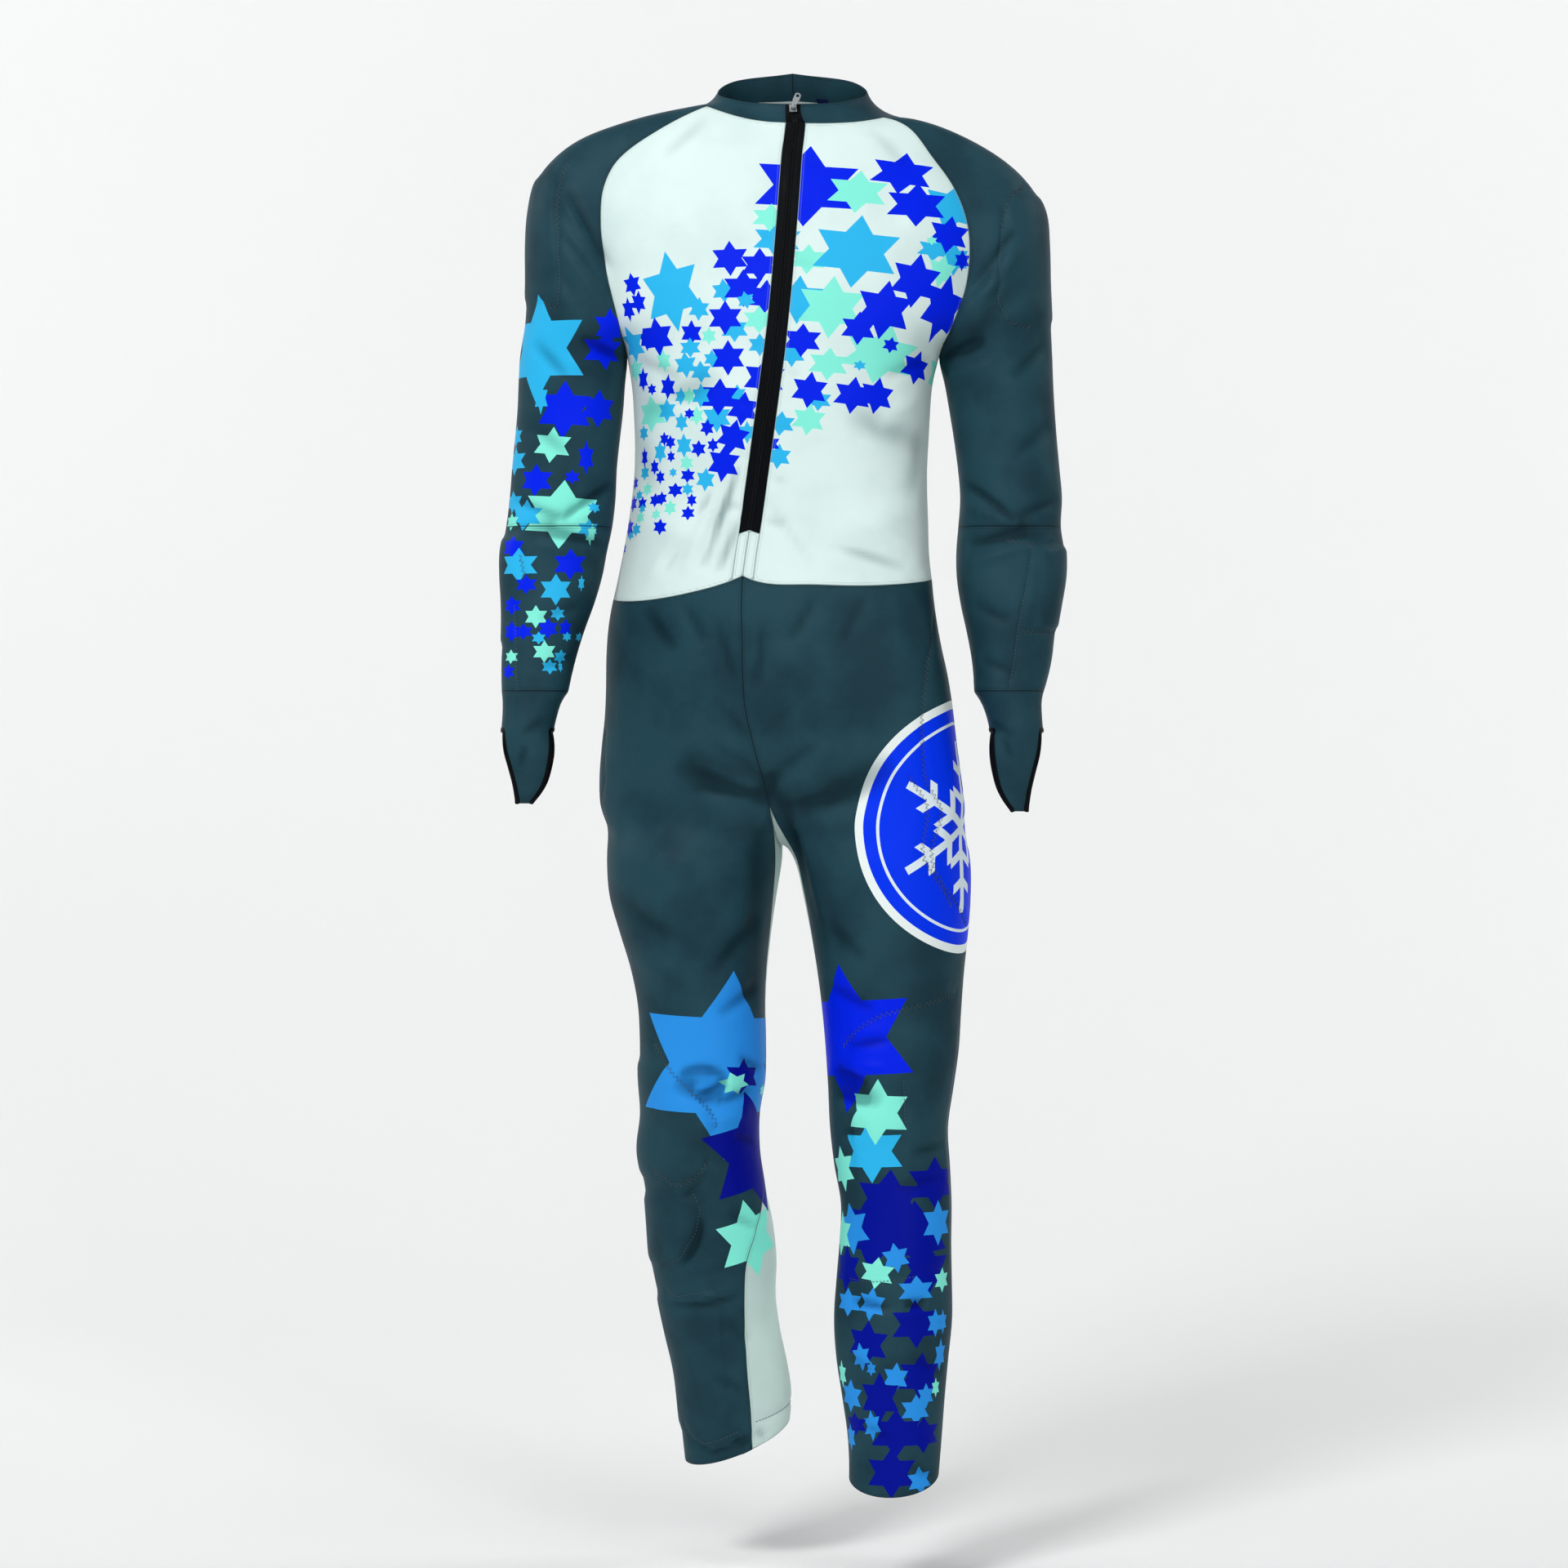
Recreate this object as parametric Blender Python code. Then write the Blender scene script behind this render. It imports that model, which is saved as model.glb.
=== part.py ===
"""A one-piece ski race suit, empty and standing as it was worn.

The suit faces -Y and +X is the wearer's left. The origin is the middle of the neck base,
where the wearer's shoulders carry the suit. Tables are in millimetres and degrees.
"""

import math

import bmesh
import bpy
import numpy as np
from mathutils import Matrix, Vector

MM = 0.001
WALL = 2.0  # thickness of the cloth shells
SEAM = 0.15  # each panel stops this far from the seam line
LAY = 0.3  # gap between a piece and the panel it lies on
PAD = 5.0  # thickness of the foam pads

FRONT_COLUMNS = 6  # from the centre front to the side seam, the first beside the zip
HALF_COLUMNS = 13  # from the centre front to the centre back
OUTER_SEAM = 10  # the column of the seam between the front and back of a leg
LEG_COLUMNS = 18
ARM_COLUMNS = 12
BODY_ROWS = 8  # from the waist seam to the underarm
YOKE_ROWS = 8  # from the underarm to the neck
HIP_ROWS = 7  # from the waist seam to the crotch
ELBOW = YOKE_ROWS + 6  # the row of a sleeve with its elbow seam
GUARD_ROW = 2  # the zip ends here and the guard below it starts
ZIP_HALF = 9.0  # half the width of the zip
UNDERARM = -238.0
CROTCH = -692.0

# Body sections: height, middle, half width, front depth, back depth, swing of the sides
BODY = (
    (20.0, 10.0, 112.0, 76.0, 62.0, 0.00),
    (-15.0, 2.0, 150.0, 84.0, 74.0, 0.00),
    (-42.0, -4.0, 185.0, 89.0, 86.0, 0.00),
    (-70.0, -3.0, 203.0, 95.0, 96.0, 0.00),
    (-105.0, -1.0, 213.0, 102.0, 105.0, 0.00),
    (-140.0, 1.0, 212.0, 107.0, 110.0, 0.00),
    (-175.0, 1.0, 199.0, 111.0, 112.0, 0.00),
    (-210.0, 0.0, 178.0, 114.0, 112.0, 0.00),
    (-238.0, -2.5, 157.5, 115.0, 110.0, 0.01),
    (-280.0, -3.7, 151.0, 114.0, 106.0, 0.03),
    (-320.0, -4.0, 148.5, 111.0, 100.0, 0.05),
    (-360.0, -5.5, 148.0, 106.0, 94.0, 0.08),
    (-400.0, -7.5, 151.0, 102.0, 88.0, 0.11),
    (-440.0, -10.5, 155.0, 100.0, 88.0, 0.14),
    (-475.0, -12.5, 161.0, 101.0, 92.0, 0.17),
    (-510.0, -14.0, 166.0, 104.0, 100.0, 0.20),
    (-545.0, -11.5, 171.0, 105.0, 110.0, 0.22),
    (-580.0, -8.4, 174.5, 105.0, 118.0, 0.22),
    (-615.0, -7.6, 177.5, 103.0, 122.0, 0.22),
    (-650.0, -7.3, 182.0, 100.0, 118.0, 0.22),
    (-692.0, -4.5, 184.0, 97.0, 108.0, 0.22),
)
SQUARE = 2.3  # how square a body section is, 2 for an ellipse

# Centre front line: height, place across
CENTRE = (
    (-15.0, 8.3),
    (-124.0, 0.0),
    (-206.0, -7.4),
    (-289.0, -18.2),
    (-372.0, -29.7),
    (-413.0, -35.5),
    (-463.0, -43.0),
    (-537.0, -43.0),
    (-586.0, -41.3),
    (-620.0, -34.7),
    (-661.0, -24.0),
    (-692.0, -16.0),
)

# Waist seam: column, height on the right half, height on the left half
WAIST = (
    (0, -461.0, -461.0),
    (1, -465.0, -465.0),
    (2, -478.0, -470.0),
    (3, -484.0, -471.0),
    (4, -485.0, -469.0),
    (5, -483.0, -466.0),
    (6, -480.0, -463.0),
    (8, -474.0, -464.0),
    (10, -469.0, -466.0),
    (13, -467.0, -467.0),
)

# Raglan seams: height, right front, left front, right back, left back
RAGLAN = (
    (-238.0, -160.0, 155.0, -160.0, 155.0),
    (-210.0, -166.0, 166.0, -165.0, 163.0),
    (-175.0, -175.0, 179.0, -172.0, 173.0),
    (-140.0, -182.0, 184.0, -175.0, 176.0),
    (-105.0, -185.0, 181.0, -173.0, 174.0),
    (-70.0, -182.0, 167.0, -166.0, 165.0),
    (-42.0, -167.0, 147.0, -152.0, 149.0),
    (-15.0, -125.0, 124.0, -118.0, 119.0),
)
# The row below the neck isn't level: height at the middle and at the raglan seam
LAST_ROW = {"front": (-27.0, -12.0), "back": (-14.0, -6.0)}

# Neck loop: turn from the front, height on the right, height on the left
NECK = (
    (0.0, -10.0, -10.0),
    (20.0, -7.0, -9.5),
    (40.0, 2.0, -6.0),
    (58.0, 12.0, 0.0),
    (90.0, 14.0, 5.0),
    (125.0, 18.0, 14.0),
    (180.0, 22.0, 22.0),
)
NECK_MIDDLE = 10.0
NECK_HALF_WIDTH = 104.0
NECK_FRONT = 82.0
NECK_BACK = 60.0
FRONT_RAGLAN_TURN = 58.0
BACK_RAGLAN_TURN = 125.0

# Top of the stand collar: turn from the front, height
COLLAR_TOP = ((0.0, 10.0), (30.0, 13.0), (60.0, 21.0), (90.0, 30.0), (130.0, 46.0), (180.0, 56.0))
COLLAR_TOP_MIDDLE = 7.0
COLLAR_TOP_HALF_WIDTH = 76.0
COLLAR_TOP_FRONT = 68.0
COLLAR_TOP_BACK = 50.0

# Shoulder line of each sleeve from the underarm to the neck: place across and height
SHOULDER = {
    "R": (
        (-269.0, -238.0),
        (-263.5, -202.0),
        (-261.8, -163.0),
        (-261.8, -126.0),
        (-259.4, -91.0),
        (-250.0, -56.0),
        (-223.0, -27.0),
        (-168.0, -2.0),
    ),
    "L": (
        (270.0, -238.0),
        (268.4, -204.0),
        (266.5, -163.0),
        (265.5, -126.0),
        (262.0, -91.0),
        (244.0, -60.0),
        (217.0, -36.0),
        (170.0, -12.0),
    ),
}
# How the sleeve leaves the raglan seam: across, to the front, up, reach at the seam, reach at
# the shoulder line
CAP = (
    (0.00, 1.00, 0.00, 82.0, 82.0),
    (-0.45, 0.90, 0.00, 38.0, 74.0),
    (-0.72, 0.68, 0.05, 34.0, 66.0),
    (-0.90, 0.42, 0.10, 38.0, 60.0),
    (-0.96, 0.20, 0.20, 42.0, 55.0),
    (-0.92, 0.00, 0.40, 40.0, 48.0),
    (-0.80, -0.20, 0.55, 36.0, 40.0),
    (-0.66, -0.50, 0.42, 30.0, 30.0),
)

# Sleeve sections: height, middle, depth of the middle, half width, front and back depth
SLEEVE = {
    "R": (
        (-238.0, -214.5, 5.0, 54.5, 62.0, 60.0),
        (-265.0, -216.5, 5.0, 54.0, 60.0, 58.0),
        (-300.0, -218.5, 4.0, 53.5, 57.0, 56.0),
        (-340.0, -223.0, 2.0, 53.0, 55.0, 54.0),
        (-380.0, -225.5, 0.0, 53.6, 54.0, 53.0),
        (-410.0, -229.0, -2.0, 53.7, 54.0, 53.0),
        (-440.0, -234.6, -6.0, 53.0, 53.0, 53.0),
        (-470.0, -236.7, -12.0, 49.5, 50.0, 50.0),
        (-505.0, -242.0, -20.0, 42.5, 45.0, 45.0),
        (-540.0, -248.0, -28.0, 37.8, 40.0, 40.0),
        (-576.0, -251.5, -38.0, 33.5, 35.0, 35.0),
    ),
    "L": (
        (-238.0, 212.5, 5.0, 57.5, 62.0, 60.0),
        (-265.0, 216.0, 5.0, 55.0, 60.0, 58.0),
        (-300.0, 220.0, 4.0, 53.0, 57.0, 56.0),
        (-340.0, 224.5, 2.0, 51.6, 55.0, 54.0),
        (-380.0, 228.0, 0.0, 51.6, 54.0, 53.0),
        (-410.0, 226.3, -2.0, 52.0, 54.0, 53.0),
        (-440.0, 227.1, -6.0, 55.0, 56.0, 54.0),
        (-470.0, 226.7, -12.0, 53.3, 53.0, 51.0),
        (-505.0, 226.3, -20.0, 46.3, 48.0, 46.0),
        (-540.0, 227.6, -28.0, 40.9, 42.0, 41.0),
        (-576.0, 224.0, -38.0, 35.0, 36.0, 36.0),
    ),
}
ELBOW_SECTION = 5  # the line of SLEEVE at the elbow seam

# Cuff tube sections below the cuff seam, with the same columns as SLEEVE
CUFF = {
    "R": (
        (-576.0, -251.5, -38.0, 33.5, 35.0, 35.0),
        (-585.0, -254.0, -41.0, 30.0, 33.0, 33.0),
        (-600.0, -256.5, -45.0, 27.5, 31.0, 31.0),
        (-614.0, -258.5, -48.0, 26.5, 30.0, 30.0),
    ),
    "L": (
        (-576.0, 224.0, -38.0, 35.0, 36.0, 36.0),
        (-585.0, 226.0, -41.0, 31.0, 33.0, 33.0),
        (-600.0, 229.0, -45.0, 28.0, 31.0, 31.0),
        (-614.0, 231.0, -48.0, 27.0, 30.0, 30.0),
    ),
}
# Hand loop below the cuff tube, down its front and up its back: share of the way down, middle
# moved across, half width, depth from the middle
TONGUE = (
    (0.28, 1.5, 22.5, 27.0),
    (0.52, 2.5, 19.0, 22.0),
    (0.74, 2.0, 14.5, 15.5),
    (0.91, -1.0, 9.5, 8.0),
    (1.00, -3.5, 6.0, 0.0),
)
TONGUE_DROP = {"R": 74.0, "L": 82.0}
TONGUE_SHIFT = {"R": 1.0, "L": -1.0}

# Leg sections: height, middle, depth of the middle, half width, front depth, back depth, turn
# of the inner seam from the front
LEG = {
    "R": (
        (-745.0, -92.5, 18.0, 89.0, 92.0, 92.0, 58.0),
        (-790.0, -94.0, 16.0, 83.5, 88.0, 88.0, 66.0),
        (-834.0, -90.0, 13.0, 73.5, 82.0, 80.0, 74.0),
        (-880.0, -86.0, 9.0, 65.5, 73.0, 72.0, 80.0),
        (-920.0, -84.0, 6.0, 64.0, 68.0, 68.0, 84.0),
        (-966.0, -84.0, 4.0, 63.6, 66.0, 66.0, 87.0),
        (-1000.0, -85.5, 5.0, 59.5, 62.0, 64.0, 88.0),
        (-1032.0, -88.0, 7.0, 61.5, 60.0, 66.0, 88.0),
        (-1066.0, -83.4, 10.0, 61.0, 60.0, 69.0, 82.0),
        (-1099.0, -77.6, 13.0, 62.0, 60.0, 71.0, 60.0),
        (-1132.0, -74.8, 16.0, 64.8, 60.0, 71.0, 38.0),
        (-1165.0, -71.4, 19.0, 62.4, 59.0, 68.0, 29.0),
        (-1198.0, -68.6, 22.0, 58.6, 57.0, 63.0, 28.0),
        (-1231.0, -62.0, 25.0, 57.8, 55.0, 58.0, 22.0),
        (-1264.0, -54.9, 28.0, 56.6, 53.0, 55.0, 17.0),
        (-1297.0, -50.8, 30.0, 56.6, 52.0, 53.0, 16.0),
        (-1334.0, -49.0, 31.0, 53.5, 50.0, 51.0, 17.0),
    ),
    "L": (
        (-745.0, 97.5, -22.0, 88.5, 92.0, 92.0, 70.0),
        (-790.0, 103.0, -27.0, 83.0, 88.0, 88.0, 74.0),
        (-834.0, 105.0, -32.0, 76.8, 82.0, 82.0, 78.0),
        (-880.0, 106.0, -38.0, 71.0, 74.0, 74.0, 80.0),
        (-920.0, 107.0, -44.0, 68.0, 70.0, 70.0, 80.0),
        (-966.0, 105.7, -50.0, 63.6, 66.0, 66.0, 80.0),
        (-1000.0, 103.3, -54.0, 59.5, 62.0, 64.0, 80.0),
        (-1032.0, 104.5, -58.0, 59.0, 60.0, 66.0, 80.0),
        (-1066.0, 108.6, -62.0, 56.6, 58.0, 68.0, 80.0),
        (-1099.0, 111.0, -66.0, 55.0, 58.0, 69.0, 80.0),
        (-1132.0, 109.0, -70.0, 56.2, 58.0, 69.0, 80.0),
        (-1165.0, 108.0, -74.0, 57.8, 58.0, 67.0, 80.0),
        (-1198.0, 107.0, -78.0, 59.0, 57.0, 64.0, 80.0),
        (-1231.0, 106.0, -82.0, 56.6, 55.0, 58.0, 80.0),
        (-1264.0, 107.0, -86.0, 52.5, 51.0, 52.0, 80.0),
        (-1300.0, 107.6, -90.0, 48.4, 48.0, 48.0, 80.0),
        (-1333.0, 109.0, -94.0, 45.2, 45.0, 45.0, 80.0),
        (-1368.0, 107.4, -97.0, 44.6, 44.0, 44.0, 80.0),
    ),
}
# Turn of the column that goes down from the centre back: height, turn
INNER_BACK = ((-745.0, 236.0), (-880.0, 228.0), (-1100.0, 215.0), (-1368.0, 212.0))
OUTER_TURN = 145.0
# Hems: rise to the image right, rise to the back
HEM_SLOPE = {"R": (20.0, 6.0), "L": (11.0, 4.0)}

# Lowest line of the crotch between the legs: share of the way to the front, drop
CROTCH_DROP = ((0.0, 0.0), (0.2, 20.0), (0.4, 34.0), (0.6, 37.0), (0.8, 26.0), (1.0, 0.0))
# Grooves of the lower body: height, depth at the centre front, depth at the centre back
GROOVE = (
    (-545.0, 0.0, 0.0),
    (-580.0, 0.0, 2.0),
    (-615.0, 2.0, 6.0),
    (-650.0, 7.0, 14.0),
    (-692.0, 17.0, 28.0),
)
GROOVE_TURN = 24.0

# Largest folds, as ridges and troughs on the front of the suit: from and to, across and
# height, half width, height of the ridge
FOLDS = (
    (-168.0, -226.0, -222.0, -120.0, 15.0, 3.5),
    (-176.0, -205.0, -230.0, -150.0, 12.0, -3.0),
    (160.0, -224.0, 224.0, -128.0, 15.0, 3.5),
    (172.0, -238.0, 236.0, -160.0, 12.0, -3.0),
    (-152.0, -300.0, -60.0, -262.0, 16.0, -2.5),
    (140.0, -330.0, 60.0, -300.0, 16.0, -2.5),
    (-150.0, -400.0, -70.0, -428.0, 16.0, 3.0),
    (138.0, -392.0, 40.0, -420.0, 16.0, 3.0),
    (-20.0, -690.0, -110.0, -640.0, 18.0, -4.0),
    (-10.0, -700.0, -90.0, -690.0, 16.0, 3.5),
    (10.0, -700.0, 110.0, -645.0, 18.0, -4.0),
    (20.0, -712.0, 120.0, -700.0, 16.0, 3.5),
    (-112.0, -965.0, -62.0, -985.0, 14.0, -4.0),
    (-128.0, -990.0, -70.0, -1006.0, 14.0, 3.5),
    (44.0, -958.0, 96.0, -986.0, 14.0, -3.5),
    (64.0, -1010.0, 140.0, -1000.0, 14.0, 3.0),
    (-206.0, -400.0, -262.0, -420.0, 12.0, -3.0),
    (204.0, -402.0, 262.0, -424.0, 12.0, -3.0),
)

# Foam pads under the cloth: name, net, first and last row, first and last column
PADS = (
    ("upper_arm_pad_R", "sleeve_R", 3, 10, 5, 9),
    ("upper_arm_pad_L", "sleeve_L", 3, 10, 5, 9),
    ("forearm_pad_R", "sleeve_R", 14, 18, 4, 8),
    ("forearm_pad_L", "sleeve_L", 14, 18, 4, 8),
    ("thigh_pad_R", "leg_R", 4, 12, 4, 7),
    ("thigh_pad_L", "leg_L", 4, 12, 4, 7),
    ("knee_pad_R", "leg_R", 13, 16, 2, 6),
    ("knee_pad_L", "leg_L", 13, 16, 2, 6),
    ("shin_pad_R", "leg_R", 17, 24, 2, 6),
    ("shin_pad_L", "leg_L", 17, 24, 2, 6),
)

BINDING = 2.2  # width of the edge binding of the hand loops
BINDING_LAP = 0.7  # how far it stands out past both faces of the cloth
TAPE = 0.6  # thickness of the neck tape and the label

# Zip slider, in its own frame: across, up the zip and out of it. Corners of its blocks
SLIDER = (
    ((-3.7, -4.0, 0.0), (3.7, 4.0, 2.2)),
    ((-3.0, -1.2, 1.8), (-2.0, 1.2, 5.75)),
    ((2.0, -1.2, 1.8), (3.0, 1.2, 5.75)),
    ((-2.6, -0.55, 4.65), (2.6, 0.55, 5.75)),
)
BAR_HEIGHT = 5.2  # height of the slider's bar, where the pull turns
SLIDER_RISE = 5.3  # how far the slider's middle is above the collar's fold
# The pull's eye, round the bar
EYE = (
    ((-1.3, 1.0, -1.8), (1.3, 1.8, 1.8)),
    ((-1.3, -1.8, -1.8), (1.3, -1.0, 1.8)),
    ((-1.3, -1.8, 1.0), (1.3, 1.8, 1.8)),
    ((-1.3, -1.8, -1.8), (1.3, 1.8, -1.0)),
)
PULL_LENGTH = 16.0
PULL_ROOT = 1.4  # where the tab starts, from the bar
PULL_HALF = 3.2
PULL_THICK = 1.2
PULL_HOLE = 1.7
PULL_LEAN = 25.0

# Colours: red, green, blue, roughness, metallic
LOOKS = {
    "grey": (0.035, 0.075, 0.095, 0.45, 0.0),
    "white": (0.72, 0.82, 0.80, 0.45, 0.0),
    "pale": (0.42, 0.53, 0.50, 0.5, 0.0),
    "black": (0.006, 0.008, 0.010, 0.55, 0.0),
    "foam": (0.10, 0.10, 0.11, 0.8, 0.0),
    "metal": (0.45, 0.46, 0.48, 0.3, 1.0),
    "label": (0.01, 0.02, 0.12, 0.6, 0.0),
}


def smooth(keys, values, at):
    """A smooth curve through values at keys, read at at."""
    keys = np.asarray(keys, float)
    values = np.asarray(values, float)
    if keys[0] > keys[-1]:
        keys, values = keys[::-1], values[::-1]
    slopes = np.gradient(values, keys)
    at = np.clip(np.asarray(at, float), keys[0], keys[-1])
    i = np.clip(np.searchsorted(keys, at) - 1, 0, len(keys) - 2)
    span = keys[i + 1] - keys[i]
    t = (at - keys[i]) / span
    rise = t * t * (3 - 2 * t)
    return (
        values[i] * (1 - rise)
        + values[i + 1] * rise
        + slopes[i] * span * (t - 2 * t * t + t**3)
        + slopes[i + 1] * span * (t**3 - t * t)
    )


def column(table, number, at):
    """One column of a table, read at heights or shares at."""
    rows = np.array(table, float)
    return smooth(rows[:, 0], rows[:, number], at)


def power(value, exponent):
    return np.sign(value) * np.abs(value) ** exponent


def body_point(turn, height):
    """A point of the body's section at a height; turn 0 is the front, 90 the wearer's left."""
    a = np.radians(turn)
    middle, half, front, back, swing = (column(BODY, n, height) for n in range(1, 6))
    across = half * power(np.sin(a), 2 / SQUARE)
    ahead = power(np.cos(a), 2 / SQUARE)
    deep = np.where(ahead > 0, -front, -back) * ahead
    groove_front = column(GROOVE, 1, height)
    groove_back = column(GROOVE, 2, height)
    off_front = (turn - centre_turn(height)) / GROOVE_TURN
    off_back = (np.abs(turn - centre_turn(height)) - 180) / GROOVE_TURN
    deep = deep + groove_front * np.exp(-(off_front**2)) - groove_back * np.exp(-(off_back**2))
    return np.stack([middle + across, deep - swing * across, height + 0 * a], axis=-1)


def turn_at(across, height):
    """The turn of the point of the body's front at a place across."""
    share = (across - column(BODY, 1, height)) / column(BODY, 2, height)
    return np.degrees(np.arcsin(power(share, SQUARE / 2)))


def centre_turn(height):
    return turn_at(column(CENTRE, 1, height), height)


def zip_turn(height):
    """How far the zip's edge is from its middle, as a turn."""
    return turn_at(column(CENTRE, 1, height) + ZIP_HALF, height) - centre_turn(height)


def neck_point(turn, side):
    """A point of the neck loop; side is -1 on the right and 1 on the left."""
    a = np.radians(turn)
    height = column(NECK, 1 if side < 0 else 2, turn)
    deep = -np.where(np.cos(a) > 0, NECK_FRONT, NECK_BACK) * np.cos(a)
    across = NECK_MIDDLE + side * NECK_HALF_WIDTH * np.sin(a)
    return np.stack([across, deep, height + 0 * a], axis=-1)


def collar_point(turn, side):
    """A point of the collar's top edge, as neck_point."""
    a = np.radians(turn)
    deep = -np.where(np.cos(a) > 0, COLLAR_TOP_FRONT, COLLAR_TOP_BACK) * np.cos(a)
    across = COLLAR_TOP_MIDDLE + side * COLLAR_TOP_HALF_WIDTH * np.sin(a)
    return np.stack([across, deep, column(COLLAR_TOP, 1, turn) + 0 * a], axis=-1)


def waist_height(columns, side):
    return column(WAIST, 1 if side < 0 else 2, columns)


def front_turns(height, edge, side):
    """Turns of the front columns at a height, the last at edge."""
    centre = centre_turn(height)
    first = centre + side * zip_turn(height)
    return np.array([centre] + [first + (edge - first) * k / 5 for k in range(6)])


def side_turn(height, side):
    """The side seam goes round with the hips."""
    share = np.clip((UNDERARM - height) / 230.0, 0.0, 1.0)
    return side * 90.0 + (-8.0 if side < 0 else -3.0) * share


def half_turns(heights, side):
    """Turn of each column of one half, from the centre front to the centre back."""
    return np.array([turns_at(height, side)[c] for c, height in enumerate(heights)])


def turns_at(height, side):
    """Turns of all the columns of one half at one height."""
    side_seam = side_turn(height, side)
    front = front_turns(height, side_seam, side)
    outer = centre_turn(height) * 0.5 + side * 138.0
    back = centre_turn(height) + side * 180.0
    keys = (6, OUTER_SEAM, HALF_COLUMNS)
    rest = np.interp(np.arange(7, 14), keys, (side_seam, outer, back))
    return np.concatenate([front, rest])


def torso_net(side):
    """The front and back nets of one half of the torso, from the waist seam to the neck."""
    name = 1 if side < 0 else 2
    front = np.zeros((BODY_ROWS + YOKE_ROWS + 1, FRONT_COLUMNS + 1, 3))
    back = np.zeros((BODY_ROWS + YOKE_ROWS + 1, HALF_COLUMNS - FRONT_COLUMNS + 1, 3))
    columns = np.arange(HALF_COLUMNS + 1)
    waist = waist_height(columns, side)
    for r in range(BODY_ROWS + 1):
        height = waist + (UNDERARM - waist) * r / BODY_ROWS
        half = body_point(half_turns(height, side), height)
        front[r], back[r] = half[: FRONT_COLUMNS + 1], half[FRONT_COLUMNS:]
    for k in range(1, YOKE_ROWS):
        height = RAGLAN[k][0]
        edge = turn_at(RAGLAN[k][name], height)
        turns = front_turns(height, edge, side)
        row = body_point(turns, height + 0 * turns)
        back_edge = side * 180.0 - turn_at(RAGLAN[k][name + 2], height)
        centre = centre_turn(height) + side * 180.0
        turns = np.linspace(back_edge, centre, HALF_COLUMNS - FRONT_COLUMNS + 1)
        back_row = body_point(turns, height + 0 * turns)
        if k == YOKE_ROWS - 1:
            share = np.linspace(0, 1, FRONT_COLUMNS + 1) ** 1.5
            row[:, 2] = LAST_ROW["front"][0] * (1 - share) + LAST_ROW["front"][1] * share
            share = np.linspace(0, 1, HALF_COLUMNS - FRONT_COLUMNS + 1)
            back_row[:, 2] = LAST_ROW["back"][1] * (1 - share) + LAST_ROW["back"][0] * share
        front[BODY_ROWS + k], back[BODY_ROWS + k] = row, back_row
    front[-1] = neck_point(neck_turns("front"), side)
    back[-1] = neck_point(neck_turns("back"), side)
    return front, back


def neck_turns(part):
    """Turns of the neck loop's points along the front, the sleeve or the back of one half."""
    if part == "sleeve":
        return np.linspace(FRONT_RAGLAN_TURN, BACK_RAGLAN_TURN, ARM_COLUMNS + 1)
    if part == "back":
        return np.linspace(BACK_RAGLAN_TURN, 180.0, HALF_COLUMNS - FRONT_COLUMNS + 1)
    beside_zip = math.degrees(ZIP_HALF / NECK_HALF_WIDTH)
    return np.concatenate([[0.0], np.linspace(beside_zip, FRONT_RAGLAN_TURN, 6)])


def ring(table, row_height, turns, side):
    """A ring of a tube's sections at a height; turn 0 is the front, 90 is away from the body."""
    a = np.radians(turns)
    middle, deep, half, front, back = (column(table, n, row_height) for n in range(1, 6))
    depth = np.where(np.cos(a) > 0, front, back)
    across = middle + side * half * np.sin(a)
    return np.stack([across, deep - depth * np.cos(a), row_height + 0 * a], axis=-1)


def bezier(a, b, c, d, t):
    t = t[:, None]
    return a * (1 - t) ** 3 + 3 * b * t * (1 - t) ** 2 + 3 * c * t * t * (1 - t) + d * t**3


def sleeve_net(key, side, front, back):
    """The net of a raglan sleeve: from the neck down over the shoulder to the cuff seam."""
    rows = []
    half = np.linspace(0, 1, ARM_COLUMNS // 2 + 1)
    for k in range(YOKE_ROWS - 1, 0, -1):
        start, end = front[BODY_ROWS + k, -1], back[BODY_ROWS + k, 0]
        across, ahead, up, reach, top_reach = CAP[k]
        top = np.array([SHOULDER[key][k][0], 6.0, SHOULDER[key][k][1]])
        leave = np.array([-side * across, -ahead, up])
        leave_back = leave * (1, -1, 1)
        to_front = np.array([0.0, -top_reach, 0.0])
        first = bezier(start, start + leave * reach, top + to_front, top, half)
        second = bezier(top, top - to_front, end + leave_back * reach, end, half)
        rows.append(np.concatenate([first, second[1:]]))
    rows.append(None)
    turns = np.linspace(-90.0, 270.0, ARM_COLUMNS + 1)
    table = SLEEVE[key]
    heights = [table[0][0], table[1][0], -290.0, -320.0, -350.0, -380.0, table[ELBOW_SECTION][0]]
    heights += [-434.0, -458.0, -486.0, -516.0, -546.0, table[-1][0]]
    tube = [ring(table, h, turns, side) for h in heights]
    tube[0][0] = tube[0][-1] = front[BODY_ROWS, -1]
    rows[-1] = tube[0]
    neck = neck_point(neck_turns("sleeve"), side)
    return np.array([neck] + rows + tube[1:])


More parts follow.
